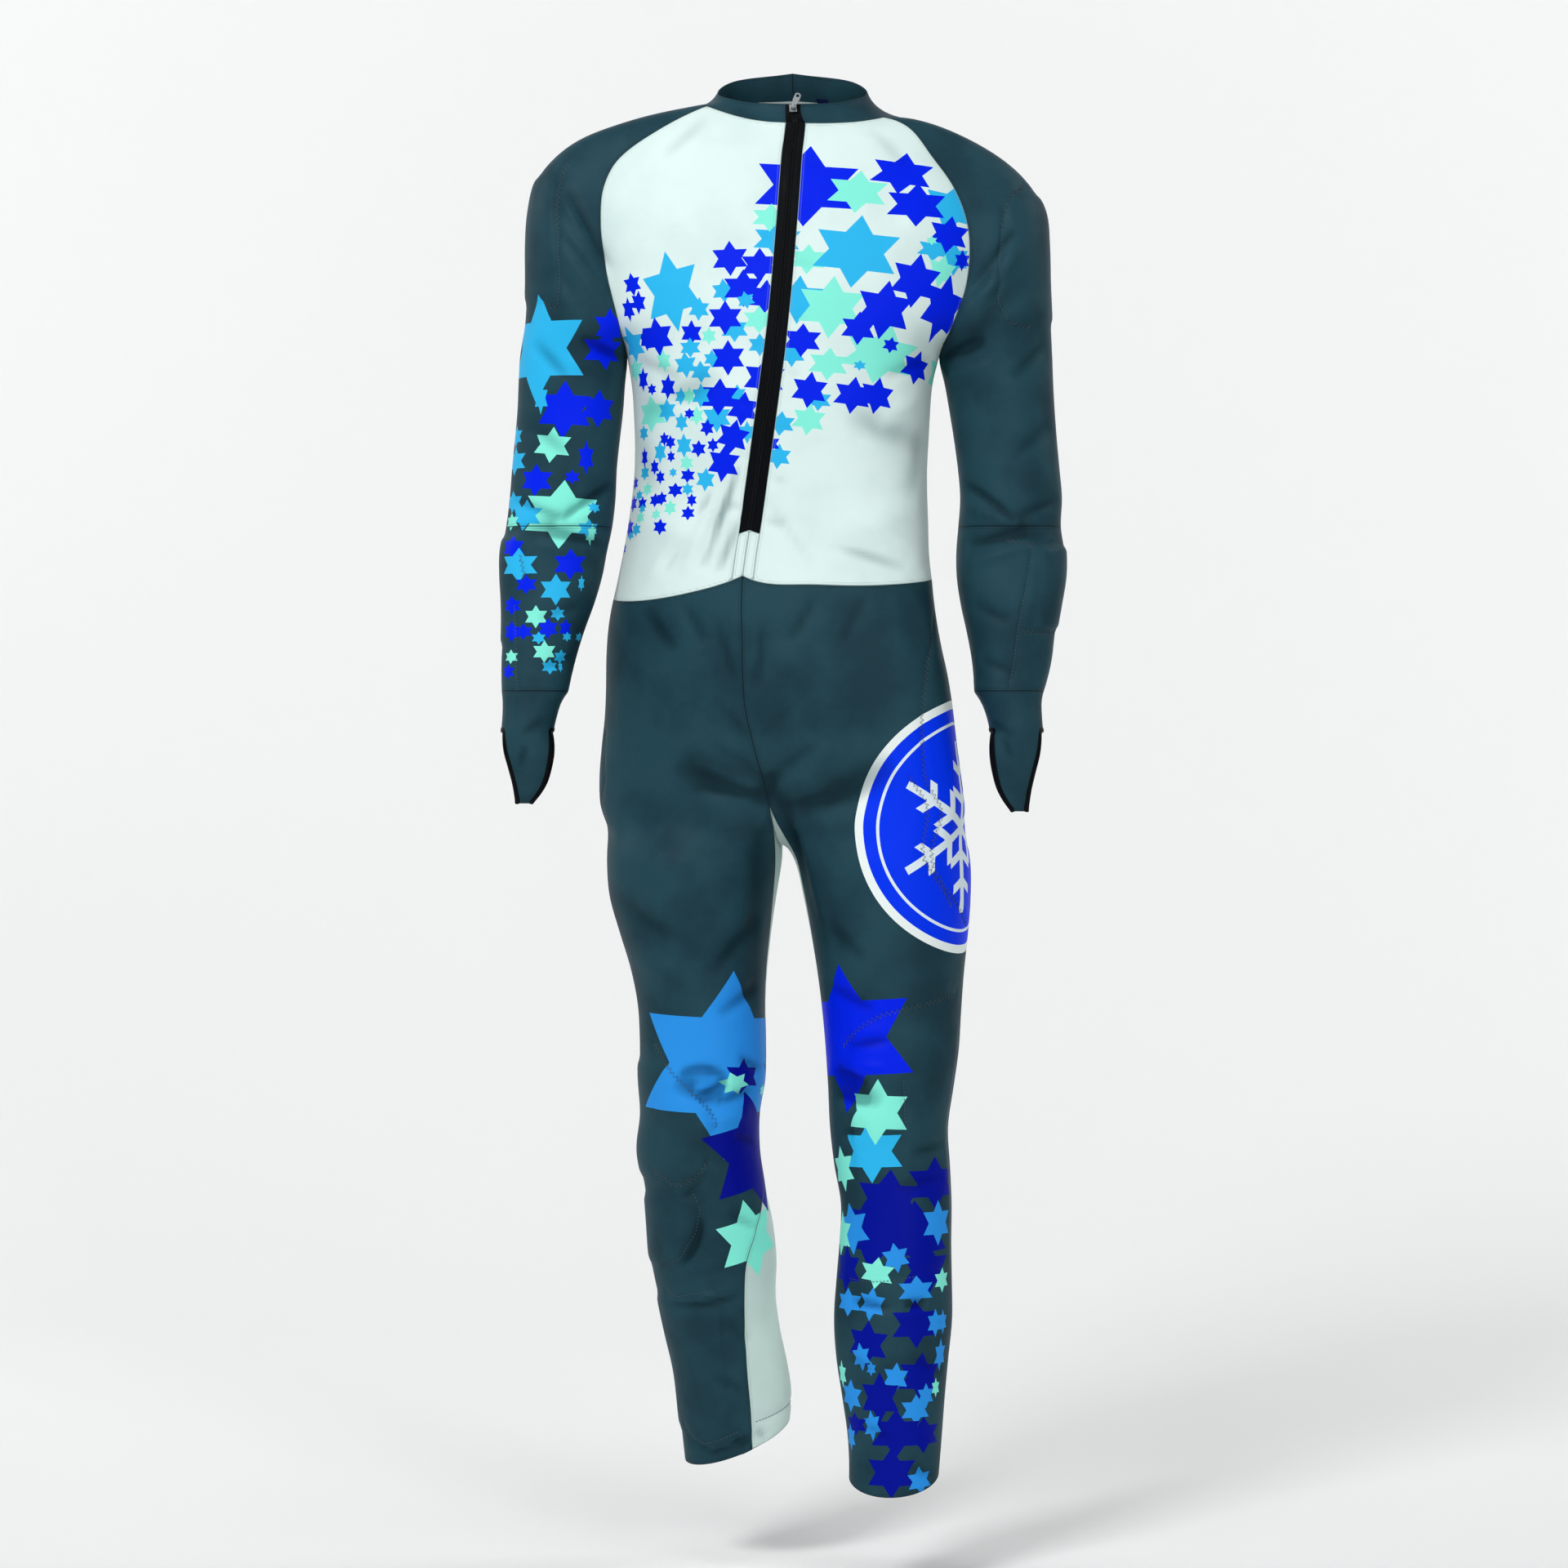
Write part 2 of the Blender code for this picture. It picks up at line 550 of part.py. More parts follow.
def leg_net(key, side):
    """The net of one trouser half: half rings to the crotch, then whole rings to the hem."""
    columns = np.arange(HALF_COLUMNS + 1)
    waist = waist_height(columns, side)
    inner = LEG_COLUMNS - HALF_COLUMNS
    rows = []
    for r in range(HIP_ROWS + 1):
        height = waist + (CROTCH - waist) * r / HIP_ROWS
        half = body_point(half_turns(height, side), height)
        across = np.linspace(0, 1, inner + 1)[1:, None]
        rows.append(np.concatenate([half, half[-1] * (1 - across) + half[0] * across]))
    share = np.linspace(0, 1, inner + 1)
    rows[-1][HALF_COLUMNS:, 2] -= column(CROTCH_DROP, 1, share)
    table = LEG[key]
    count = 17
    top, bottom = table[0][0], table[-1][0]
    for h in np.linspace(top, bottom, count):
        start = -column(table, 6, h)
        back = column(INNER_BACK, 1, h)
        keys = (0, OUTER_SEAM, HALF_COLUMNS, LEG_COLUMNS)
        turns = np.interp(np.arange(LEG_COLUMNS + 1), keys, (start, OUTER_TURN, back, start + 360))
        row = ring(table, h, turns, side)
        low = max(0.0, (h - bottom) / -150.0 + 1.0)
        rise, rear = HEM_SLOPE[key]
        middle, deep = column(table, 1, h), column(table, 2, h)
        row[:, 2] += low**2 * (rise * (row[:, 0] - middle) + rear * (row[:, 1] - deep)) / 50.0
        rows.append(row)
    return np.array(rows)


def collar_net(side):
    """One half of the collar from the centre front to the centre back, neck to top edge."""
    turns = [neck_turns("front"), neck_turns("sleeve")[1:], neck_turns("back")[1:]]
    turns = np.concatenate(turns)
    low, high = neck_point(turns, side), collar_point(turns, side)
    middle = (low + high) / 2
    middle[:, :2] = middle[:, :2] * 0.5 + high[:, :2] * 0.5
    return np.array([low, middle, high])


def cuff_net(key, side):
    turns = np.linspace(-90.0, 270.0, ARM_COLUMNS + 1)
    return np.array([ring(CUFF[key], row[0], turns, side) for row in CUFF[key]])


def tongue_net(key, side, tube):
    """The hand loop: from the tube's front edge, down to the tip and up to its back edge."""
    low = CUFF[key][-1]
    rows = [tube[-1][1:6]]
    places = [(row, -1) for row in TONGUE] + [(row, 1) for row in TONGUE[-2::-1]]
    for (share, shift, half, deep), way in places:
        middle = low[1] + shift * TONGUE_SHIFT[key] * 1.0
        across = middle + side * half * np.sin(np.radians(np.linspace(-60, 60, 5))) / 0.866
        bow = 1 - 0.22 * np.abs(np.linspace(-1, 1, 5)) ** 2
        height = low[0] - share * TONGUE_DROP[key]
        row = np.stack([across, low[2] + way * deep * bow, height + 0 * across], axis=-1)
        rows.append(row)
    rows.append(tube[-1][[11, 10, 9, 8, 7]])
    return np.array(rows)


class Sheet:
    """All the cloth as one welded surface, with each face marked by its panel."""

    def __init__(self):
        self.places = []
        self.known = {}
        self.faces = []
        self.names = []

    def point(self, place):
        mark = tuple(int(round(v * 100)) for v in place)
        if mark not in self.known:
            self.known[mark] = len(self.places)
            self.places.append(np.array(place, float))
        return self.known[mark]

    def add(self, name, net, flip, rows=None, columns=None):
        """Adds the cells of a net, or of some of its rows and columns, to a panel."""
        first_row, last_row = rows or (0, net.shape[0] - 1)
        first, last = columns or (0, net.shape[1] - 1)
        for r in range(first_row, last_row):
            for c in range(first, last):
                cell = [net[r, c], net[r, c + 1], net[r + 1, c + 1], net[r + 1, c]]
                face = []
                for place in cell:
                    index = self.point(place)
                    if index not in face:
                        face.append(index)
                if len(face) > 2:
                    self.faces.append(face[::-1] if flip else face)
                    self.names.append(name)

    def cells(self, net, rows, columns):
        """Faces of a net's cells that are already in the sheet."""
        found = []
        for r in range(*rows):
            for c in range(*columns):
                cell = (net[r, c], net[r, c + 1], net[r + 1, c + 1], net[r + 1, c])
                found.append({self.point(place) for place in cell})
        return [face for face in self.faces if set(face) in found]

    def finish(self):
        """Works out the normals of the whole surface and adds the largest folds."""
        self.places = np.array(self.places)
        self.normals = self.work_out_normals()
        for x0, z0, x1, z1, half, height in FOLDS:
            start, run = np.array((x0, z0)), np.array((x1 - x0, z1 - z0))
            off = self.places[:, [0, 2]] - start
            along = np.clip(off @ run / (run @ run), 0, 1)
            away = np.linalg.norm(off - along[:, None] * run, axis=1)
            amount = height * np.exp(-((away / half) ** 2)) * np.sin(np.pi * along) ** 0.5
            amount *= np.clip(-self.normals[:, 1] * 2, 0, 1)
            self.places += self.normals * amount[:, None]
        self.normals = self.work_out_normals()

    def work_out_normals(self):
        normals = np.zeros_like(self.places)
        for face in self.faces:
            corner = self.places[face]
            middle = corner.mean(axis=0)
            for k in range(len(face)):
                a, b = corner[k] - middle, corner[(k + 1) % len(face)] - middle
                across = np.cross(a, b)
                normals[face[k]] += across
                normals[face[(k + 1) % len(face)]] += across
        return normals / np.maximum(np.linalg.norm(normals, axis=1), 1e-9)[:, None]


def closed(bm, name, look):
    """An object from a bmesh of one closed body."""
    mesh = bpy.data.meshes.new(name)
    bmesh.ops.recalc_face_normals(bm, faces=bm.faces[:])
    bm.to_mesh(mesh)
    bm.free()
    mesh.shade_smooth()
    mesh.set_sharp_from_angle(angle=math.radians(40))
    mesh.materials.append(materials[look])
    thing = bpy.data.objects.new(name, mesh)
    bpy.context.scene.collection.objects.link(thing)
    thing.parent = suit
    return thing


def panel(name, look, sheet, faces, outer=0.0, inner=WALL):
    """A panel of the sheet as a wall: its faces between two depths under the surface."""
    used = sorted({index for face in faces for index in face})
    new = {index: k for k, index in enumerate(used)}
    edges = {}
    for face in faces:
        for k, a in enumerate(face):
            b = face[(k + 1) % len(face)]
            edges.setdefault((min(a, b), max(a, b)), []).append((a, b, face))
    border = [found[0] for found in edges.values() if len(found) == 1]
    inward = {}
    for a, b, face in border:
        along = sheet.places[b] - sheet.places[a]
        middle = sheet.places[face].mean(axis=0) - sheet.places[a]
        step = middle - along * (middle @ along) / (along @ along)
        step /= np.linalg.norm(step)
        inward.setdefault(a, []).append(step)
        inward.setdefault(b, []).append(step)
    moved = {}
    for index, steps in inward.items():
        total = np.sum(steps, axis=0)
        if len(steps) > 1:
            total = total / max(0.4, 1 + steps[0] @ steps[1])
        moved[index] = total * SEAM
    bm = bmesh.new()
    layers = []
    for depth in (outer, inner):
        layer = []
        for index in used:
            place = sheet.places[index] + moved.get(index, 0) - sheet.normals[index] * depth
            layer.append(bm.verts.new(Vector(place) * MM))
        layers.append(layer)
    for face in faces:
        bm.faces.new([layers[0][new[index]] for index in face])
        bm.faces.new([layers[1][new[index]] for index in reversed(face)])
    for a, b, _ in border:
        a, b = new[a], new[b]
        bm.faces.new([layers[0][b], layers[0][a], layers[1][a], layers[1][b]])
    bmesh.ops.triangulate(bm, faces=bm.faces[:])
    return closed(bm, name, look)


def binding(name, sheet, loop, beside):
    """A flat band round an opening: loop holds its points, beside the cloth next to each."""
    bm = bmesh.new()
    rings = []
    for k, index in enumerate(loop):
        place, normal = sheet.places[index], sheet.normals[index]
        along = sheet.places[loop[(k + 1) % len(loop)]] - sheet.places[loop[k - 1]]
        away = np.cross(along, normal)
        away *= np.sign(away @ (place - sheet.places[beside[k]])) / np.linalg.norm(away)
        near, far = place + away * LAY, place + away * (LAY + BINDING)
        high, low = normal * BINDING_LAP, normal * (WALL + BINDING_LAP)
        corners = (near + high, far + high, far - low, near - low)
        rings.append([bm.verts.new(Vector(corner) * MM) for corner in corners])
    for k, ring_points in enumerate(rings):
        following = rings[(k + 1) % len(rings)]
        for c in range(4):
            d = (c + 1) % 4
            bm.faces.new([ring_points[c], ring_points[d], following[d], following[c]])
    bmesh.ops.triangulate(bm, faces=bm.faces[:])
    return closed(bm, name, "black")


def block(low, high):
    """A box between two corners, as a bmesh."""
    bm = bmesh.new()
    size = [b - a for a, b in zip(low, high)]
    middle = [(a + b) / 2 for a, b in zip(low, high)]
    place = Matrix.Translation(middle) @ Matrix.Diagonal((*size, 1.0))
    bmesh.ops.create_cube(bm, size=1.0, matrix=Matrix.Scale(MM, 4) @ place)
    return bm


def tab():
    """The pull's tab as a bmesh: a long plate with round ends and a hole near its far end."""
    bm = bmesh.new()
    middle = PULL_LENGTH - PULL_HALF
    lean = Matrix.Rotation(math.radians(-PULL_LEAN), 3, "Z")
    loops = {}
    for side in (-1, 1):
        for kind in ("edge", "hole"):
            loop = []
            for k in range(20):
                a = 2 * math.pi * k / 20
                x, y = math.sin(a), math.cos(a)
                reach = PULL_HOLE
                if kind == "edge":
                    reach = PULL_HALF
                    if y < 0:
                        reach = min(PULL_HALF / max(abs(x), 1e-9), (PULL_ROOT - middle) / y)
                        taper = min(1.0, (middle + reach * y - PULL_ROOT) / 2.5)
                        x = x * (0.4 + 0.6 * taper) if taper < 1 else x
                place = Vector((x * reach, middle + y * reach, side * PULL_THICK / 2))
                loop.append(bm.verts.new((lean @ place) * MM))
            loops[side, kind] = loop
    order = (((-1, "edge"), (1, "edge")), ((1, "edge"), (1, "hole")))
    order += (((1, "hole"), (-1, "hole")), ((-1, "hole"), (-1, "edge")))
    for first, second in order:
        for k in range(20):
            a, b = loops[first], loops[second]
            n = (k + 1) % 20
            bm.faces.new([a[k], a[n], b[n], b[k]])
    bmesh.ops.triangulate(bm, faces=bm.faces[:])
    return bm


def joined(name, look, shapes, place):
    """Shapes joined into one body and placed."""
    things = []
    for k, bm in enumerate(shapes):
        thing = closed(bm, name if k == 0 else f"{name}_join_{k}", look)
        thing.matrix_world = place
        things.append(thing)
    base = things[0]
    for other in things[1:]:
        union = base.modifiers.new("join", "BOOLEAN")
        union.operation = "UNION"
        union.object = other
        other.hide_render = True
        other.display_type = "WIRE"
    return base


for thing in list(bpy.data.objects):
    bpy.data.objects.remove(thing)

materials = {}
for title, (red, green, blue, rough, metal) in LOOKS.items():
    material = bpy.data.materials.new(title)
    material.use_nodes = True
    shader = material.node_tree.nodes["Principled BSDF"]
    shader.inputs["Base Color"].default_value = (red, green, blue, 1.0)
    shader.inputs["Roughness"].default_value = rough
    shader.inputs["Metallic"].default_value = metal
    materials[title] = material

suit = bpy.data.objects.new("suit", None)
bpy.context.scene.collection.objects.link(suit)

sheet = Sheet()
nets = {}
looks = {}
for key, side in (("R", -1), ("L", 1)):
    flip = side > 0
    front, back = torso_net(side)
    nets["sleeve_" + key] = sleeve_net(key, side, front, back)
    nets["leg_" + key] = leg_net(key, side)
    nets["cuff_" + key] = cuff_net(key, side)
    nets["tongue_" + key] = tongue_net(key, side, nets["cuff_" + key])
    nets["collar_" + key] = collar_net(side)
    name = {"R": "right", "L": "left"}[key]
    sheet.add("front_" + name, front, not flip, columns=(1, FRONT_COLUMNS))
    sheet.add("zip_tape", front, not flip, rows=(GUARD_ROW, front.shape[0] - 1), columns=(0, 1))
    sheet.add("zip_guard", front, not flip, rows=(0, GUARD_ROW), columns=(0, 1))
    sheet.add("back", back, not flip)
    sleeve = nets["sleeve_" + key]
    sheet.add("sleeve_upper_" + name, sleeve, flip, rows=(0, ELBOW))
    sheet.add("sleeve_lower_" + name, sleeve, flip, rows=(ELBOW, sleeve.shape[0] - 1))
    leg = nets["leg_" + key]
    sheet.add("leg_front_" + name, leg, flip, columns=(0, OUTER_SEAM))
    sheet.add("leg_back_" + name, leg, flip, (0, HIP_ROWS), (OUTER_SEAM, HALF_COLUMNS))
    last = leg.shape[0] - 1
    sheet.add("leg_back_" + name, leg, flip, (HIP_ROWS, last), (OUTER_SEAM, LEG_COLUMNS))
    sheet.add("cuff_" + name, nets["cuff_" + key], flip)
    sheet.add("cuff_" + name, nets["tongue_" + key], flip)
    collar = nets["collar_" + key]
    sheet.add("collar", collar, not flip, columns=(1, collar.shape[1] - 1))
    sheet.add("zip_tape", collar, not flip, columns=(0, 1))
    for part in ("front_", "sleeve_upper_", "sleeve_lower_", "leg_front_", "leg_back_", "cuff_"):
        looks[part + name] = "grey"
    looks["front_" + name] = "white"
    looks["leg_back_" + name] = "pale"
looks.update(back="white", collar="grey", zip_tape="black", zip_guard="white")
pads = {}
for name, net, first_row, last_row, first, last in PADS:
    pads[name] = sheet.cells(nets[net], (first_row, last_row), (first, last))

loops = {}
for key in "RL":
    tube, tongue = nets["cuff_" + key], nets["tongue_" + key]
    for title, edge, inside, gap in (("outer", 4, 3, 6), ("inner", 0, 1, 0)):
        loop = [sheet.point(place) for place in tongue[:, edge]] + [sheet.point(tube[-1, gap])]
        beside = [sheet.point(place) for place in tongue[:, inside]]
        beside[0], beside[-1] = sheet.point(tube[-2, 3]), sheet.point(tube[-2, 9])
        beside.append(sheet.point(tube[-2, gap]))
        loops[f"cuff_binding_{title}_{key}"] = loop, beside

side_columns = FRONT_COLUMNS + ARM_COLUMNS // 2
back_columns = FRONT_COLUMNS + ARM_COLUMNS
last_column = back_columns + HALF_COLUMNS - FRONT_COLUMNS
neck_tape = []
for key in "RL":
    neck_tape += sheet.cells(nets["collar_" + key], (0, 1), (side_columns, last_column))
label = sheet.cells(nets["collar_L"], (0, 1), (last_column - 3, last_column - 2))
fold = sheet.point(nets["collar_L"][1, 0])
top = sheet.point(nets["collar_L"][2, 0])
beside_fold = sheet.point(nets["collar_L"][1, 1]), sheet.point(nets["collar_R"][1, 1])
sheet.finish()

for name, look in looks.items():
    chosen = [face for face, owner in zip(sheet.faces, sheet.names) if owner == name]
    panel(name, look, sheet, chosen)
for name, faces in pads.items():
    panel(name, "foam", sheet, faces, WALL + LAY, WALL + LAY + PAD)
for name, (loop, beside) in loops.items():
    binding(name, sheet, loop, beside)
panel("neck_tape", "pale", sheet, neck_tape, WALL + LAY, WALL + LAY + TAPE)
under = WALL + 2 * LAY + TAPE
panel("neck_label", "label", sheet, label, under, under + TAPE)

# Zip slider and pull at the top of the zip
up = Vector(sheet.places[top] - sheet.places[fold]).normalized()
across = Vector(sheet.places[beside_fold[0]] - sheet.places[beside_fold[1]])
across = (across - up * across.dot(up)).normalized()
out = across.cross(up).normalized()
seat = Vector(sheet.places[fold]) + up * SLIDER_RISE + out * LAY
frame = Matrix((across, up, out)).transposed().to_4x4()
place = Matrix.Translation(seat * MM) @ frame
joined("zip_slider", "metal", [block(*corners) for corners in SLIDER], place)
pull_place = Matrix.Translation((seat + out * BAR_HEIGHT) * MM) @ frame
joined("zip_pull", "metal", [block(*corners) for corners in EYE] + [tab()], pull_place)
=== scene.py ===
"""Looks of the one-piece ski race suit: cloth panels with their print, seams, zip and trims.

Tables and nets are those of the part, in millimetres and degrees. The fine cloth is the same
nets with more points, welded into one sheet, so that the panels meet at their seams.
"""

import math

import bpy
import numpy as np
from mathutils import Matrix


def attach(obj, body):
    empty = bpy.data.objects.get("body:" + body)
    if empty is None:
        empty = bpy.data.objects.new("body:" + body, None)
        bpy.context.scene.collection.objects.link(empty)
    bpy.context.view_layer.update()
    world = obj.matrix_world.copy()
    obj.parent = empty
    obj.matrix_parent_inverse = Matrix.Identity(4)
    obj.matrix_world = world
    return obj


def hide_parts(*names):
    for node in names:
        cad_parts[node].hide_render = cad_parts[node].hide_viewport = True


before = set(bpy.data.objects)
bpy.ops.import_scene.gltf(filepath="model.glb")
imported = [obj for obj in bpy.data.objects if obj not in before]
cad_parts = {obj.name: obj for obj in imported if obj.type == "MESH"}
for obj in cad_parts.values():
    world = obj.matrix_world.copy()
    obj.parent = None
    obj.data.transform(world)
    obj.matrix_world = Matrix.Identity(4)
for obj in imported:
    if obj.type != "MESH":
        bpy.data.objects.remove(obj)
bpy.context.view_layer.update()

MM = 0.001
FRONT_COLUMNS = 6  # from the centre front to the side seam, the first beside the zip
HALF_COLUMNS = 13  # from the centre front to the centre back
OUTER_SEAM = 10  # the column of the seam between the front and back of a leg
LEG_COLUMNS = 18
ARM_COLUMNS = 12
BODY_ROWS = 8  # from the waist seam to the underarm
YOKE_ROWS = 8  # from the underarm to the neck
HIP_ROWS = 7  # from the waist seam to the crotch
ELBOW = YOKE_ROWS + 6  # the row of a sleeve with its elbow seam
GUARD_ROW = 2  # the zip ends here and the guard below it starts
ZIP_HALF = 9.0  # half the width of the zip
UNDERARM = -238.0
CROTCH = -692.0

# Body sections: height, middle, half width, front depth, back depth, swing of the sides
BODY = (
    (20, 10, 112, 76, 62, 0),
    (-15, 2, 150, 84, 74, 0),
    (-42, -4, 185, 89, 86, 0),
    (-70, -3, 203, 95, 96, 0),
    (-105, -1, 213, 102, 105, 0),
    (-140, 1, 212, 107, 110, 0),
    (-175, 1, 199, 111, 112, 0),
    (-210, 0, 178, 114, 112, 0),
    (-238, -2.5, 157.5, 115, 110, 0.01),
    (-280, -3.7, 151, 114, 106, 0.03),
    (-320, -4, 148.5, 111, 100, 0.05),
    (-360, -5.5, 148, 106, 94, 0.08),
    (-400, -7.5, 151, 102, 88, 0.11),
    (-440, -10.5, 155, 100, 88, 0.14),
    (-475, -12.5, 161, 101, 92, 0.17),
    (-510, -14, 166, 104, 100, 0.2),
    (-545, -11.5, 171, 105, 110, 0.22),
    (-580, -8.4, 174.5, 105, 118, 0.22),
    (-615, -7.6, 177.5, 103, 122, 0.22),
    (-650, -7.3, 182, 100, 118, 0.22),
    (-692, -4.5, 184, 97, 108, 0.22),
)
SQUARE = 2.3  # how square a body section is, 2 for an ellipse

# Centre front line: height, place across
CENTRE = (
    (-15, 8.3), (-124, 0), (-206, -7.4), (-289, -18.2), (-372, -29.7), (-413, -35.5), (-463, -43),
    (-537, -43), (-586, -41.3), (-620, -34.7), (-661, -24), (-692, -16),
)

# Waist seam: column, height on the right half, height on the left half
WAIST = (
    (0, -461, -461), (1, -465, -465), (2, -478, -470), (3, -484, -471), (4, -485, -469),
    (5, -483, -466), (6, -480, -463), (8, -474, -464), (10, -469, -466), (13, -467, -467),
)

# Raglan seams: height, right front, left front, right back, left back
RAGLAN = (
    (-238, -160, 155, -160, 155),
    (-210, -166, 166, -165, 163),
    (-175, -175, 179, -172, 173),
    (-140, -182, 184, -175, 176),
    (-105, -185, 181, -173, 174),
    (-70, -182, 167, -166, 165),
    (-42, -167, 147, -152, 149),
    (-15, -125, 124, -118, 119),
)
# The row below the neck isn't level: height at the middle and at the raglan seam
LAST_ROW = {"front": (-27.0, -12.0), "back": (-14.0, -6.0)}

# Neck loop: turn from the front, height on the right, height on the left
NECK = (
    (0, -10, -10), (20, -7, -9.5), (40, 2, -6), (58, 12, 0), (90, 14, 5), (125, 18, 14),
    (180, 22, 22),
)
NECK_MIDDLE = 10.0
NECK_HALF_WIDTH = 104.0
NECK_FRONT = 82.0
NECK_BACK = 60.0
FRONT_RAGLAN_TURN = 58.0
BACK_RAGLAN_TURN = 125.0

# Top of the stand collar: turn from the front, height
COLLAR_TOP = ((0.0, 10.0), (30.0, 13.0), (60.0, 21.0), (90.0, 30.0), (130.0, 46.0), (180.0, 56.0))
COLLAR_TOP_MIDDLE = 7.0
COLLAR_TOP_HALF_WIDTH = 76.0
COLLAR_TOP_FRONT = 68.0
COLLAR_TOP_BACK = 50.0

# Shoulder line of each sleeve from the underarm to the neck: place across and height
SHOULDER = {
    "R": (
        (-269, -238), (-263.5, -202), (-261.8, -163), (-261.8, -126), (-259.4, -91), (-250, -56),
        (-223, -27), (-168, -2),
    ),
    "L": (
        (270, -238), (268.4, -204), (266.5, -163), (265.5, -126), (262, -91), (244, -60),
        (217, -36), (170, -12),
    ),
}
SHOULDER_DEPTH = 6.0  # how far behind the middle plane it runs
# How the sleeve leaves the raglan seam: across, to the front, up, reach at the seam, reach at
# the shoulder line
CAP = (
    (0, 1, 0, 82, 82),
    (-0.45, 0.9, 0, 38, 74),
    (-0.72, 0.68, 0.05, 34, 66),
    (-0.9, 0.42, 0.1, 38, 60),
    (-0.96, 0.2, 0.2, 42, 55),
    (-0.92, 0, 0.4, 40, 48),
    (-0.8, -0.2, 0.55, 36, 40),
    (-0.66, -0.5, 0.42, 30, 30),
)

# Sleeve sections: height, middle, depth of the middle, half width, front and back depth
SLEEVE = {
    "R": (
        (-238, -214.5, 5, 54.5, 62, 60),
        (-265, -216.5, 5, 54, 60, 58),
        (-300, -218.5, 4, 53.5, 57, 56),
        (-340, -223, 2, 53, 55, 54),
        (-380, -225.5, 0, 53.6, 54, 53),
        (-410, -229, -2, 53.7, 54, 53),
        (-440, -234.6, -6, 53, 53, 53),
        (-470, -236.7, -12, 49.5, 50, 50),
        (-505, -242, -20, 42.5, 45, 45),
        (-540, -248, -28, 37.8, 40, 40),
        (-576, -251.5, -38, 33.5, 35, 35),
    ),
    "L": (
        (-238, 212.5, 5, 57.5, 62, 60),
        (-265, 216, 5, 55, 60, 58),
        (-300, 220, 4, 53, 57, 56),
        (-340, 224.5, 2, 51.6, 55, 54),
        (-380, 228, 0, 51.6, 54, 53),
        (-410, 226.3, -2, 52, 54, 53),
        (-440, 227.1, -6, 55, 56, 54),
        (-470, 226.7, -12, 53.3, 53, 51),
        (-505, 226.3, -20, 46.3, 48, 46),
        (-540, 227.6, -28, 40.9, 42, 41),
        (-576, 224, -38, 35, 36, 36),
    ),
}
ELBOW_SECTION = 5  # the line of SLEEVE at the elbow seam
ABOVE_ELBOW = (-290.0, -320.0, -350.0, -380.0)  # heights of more rings
BELOW_ELBOW = (-434.0, -458.0, -486.0, -516.0, -546.0)

# Cuff tube sections below the cuff seam, with the same columns as SLEEVE
CUFF = {
    "R": (
        (-576, -251.5, -38, 33.5, 35, 35),
        (-585, -254, -41, 30, 33, 33),
        (-600, -256.5, -45, 27.5, 31, 31),
        (-614, -258.5, -48, 26.5, 30, 30),
    ),
    "L": (
        (-576, 224, -38, 35, 36, 36),
        (-585, 226, -41, 31, 33, 33),
        (-600, 229, -45, 28, 31, 31),
        (-614, 231, -48, 27, 30, 30),
    ),
}
# Hand loop below the cuff tube, down its front and up its back: share of the way down, middle
# moved across, half width, depth from the middle
TONGUE = (
    (0.28, 1.5, 22.5, 27), (0.52, 2.5, 19, 22), (0.74, 2, 14.5, 15.5), (0.91, -1, 9.5, 8),
    (1, -3.5, 6, 0),
)
TONGUE_DROP = {"R": 74.0, "L": 82.0}
TONGUE_SHIFT = {"R": 1.0, "L": -1.0}
TONGUE_POINTS = 5  # points across the loop, spread as on an arc of twice this turn
TONGUE_TURN = 60.0
TONGUE_SINE = 0.866  # the sine of that turn
TONGUE_BOW = 0.22  # how much of its depth the loop loses at its edges

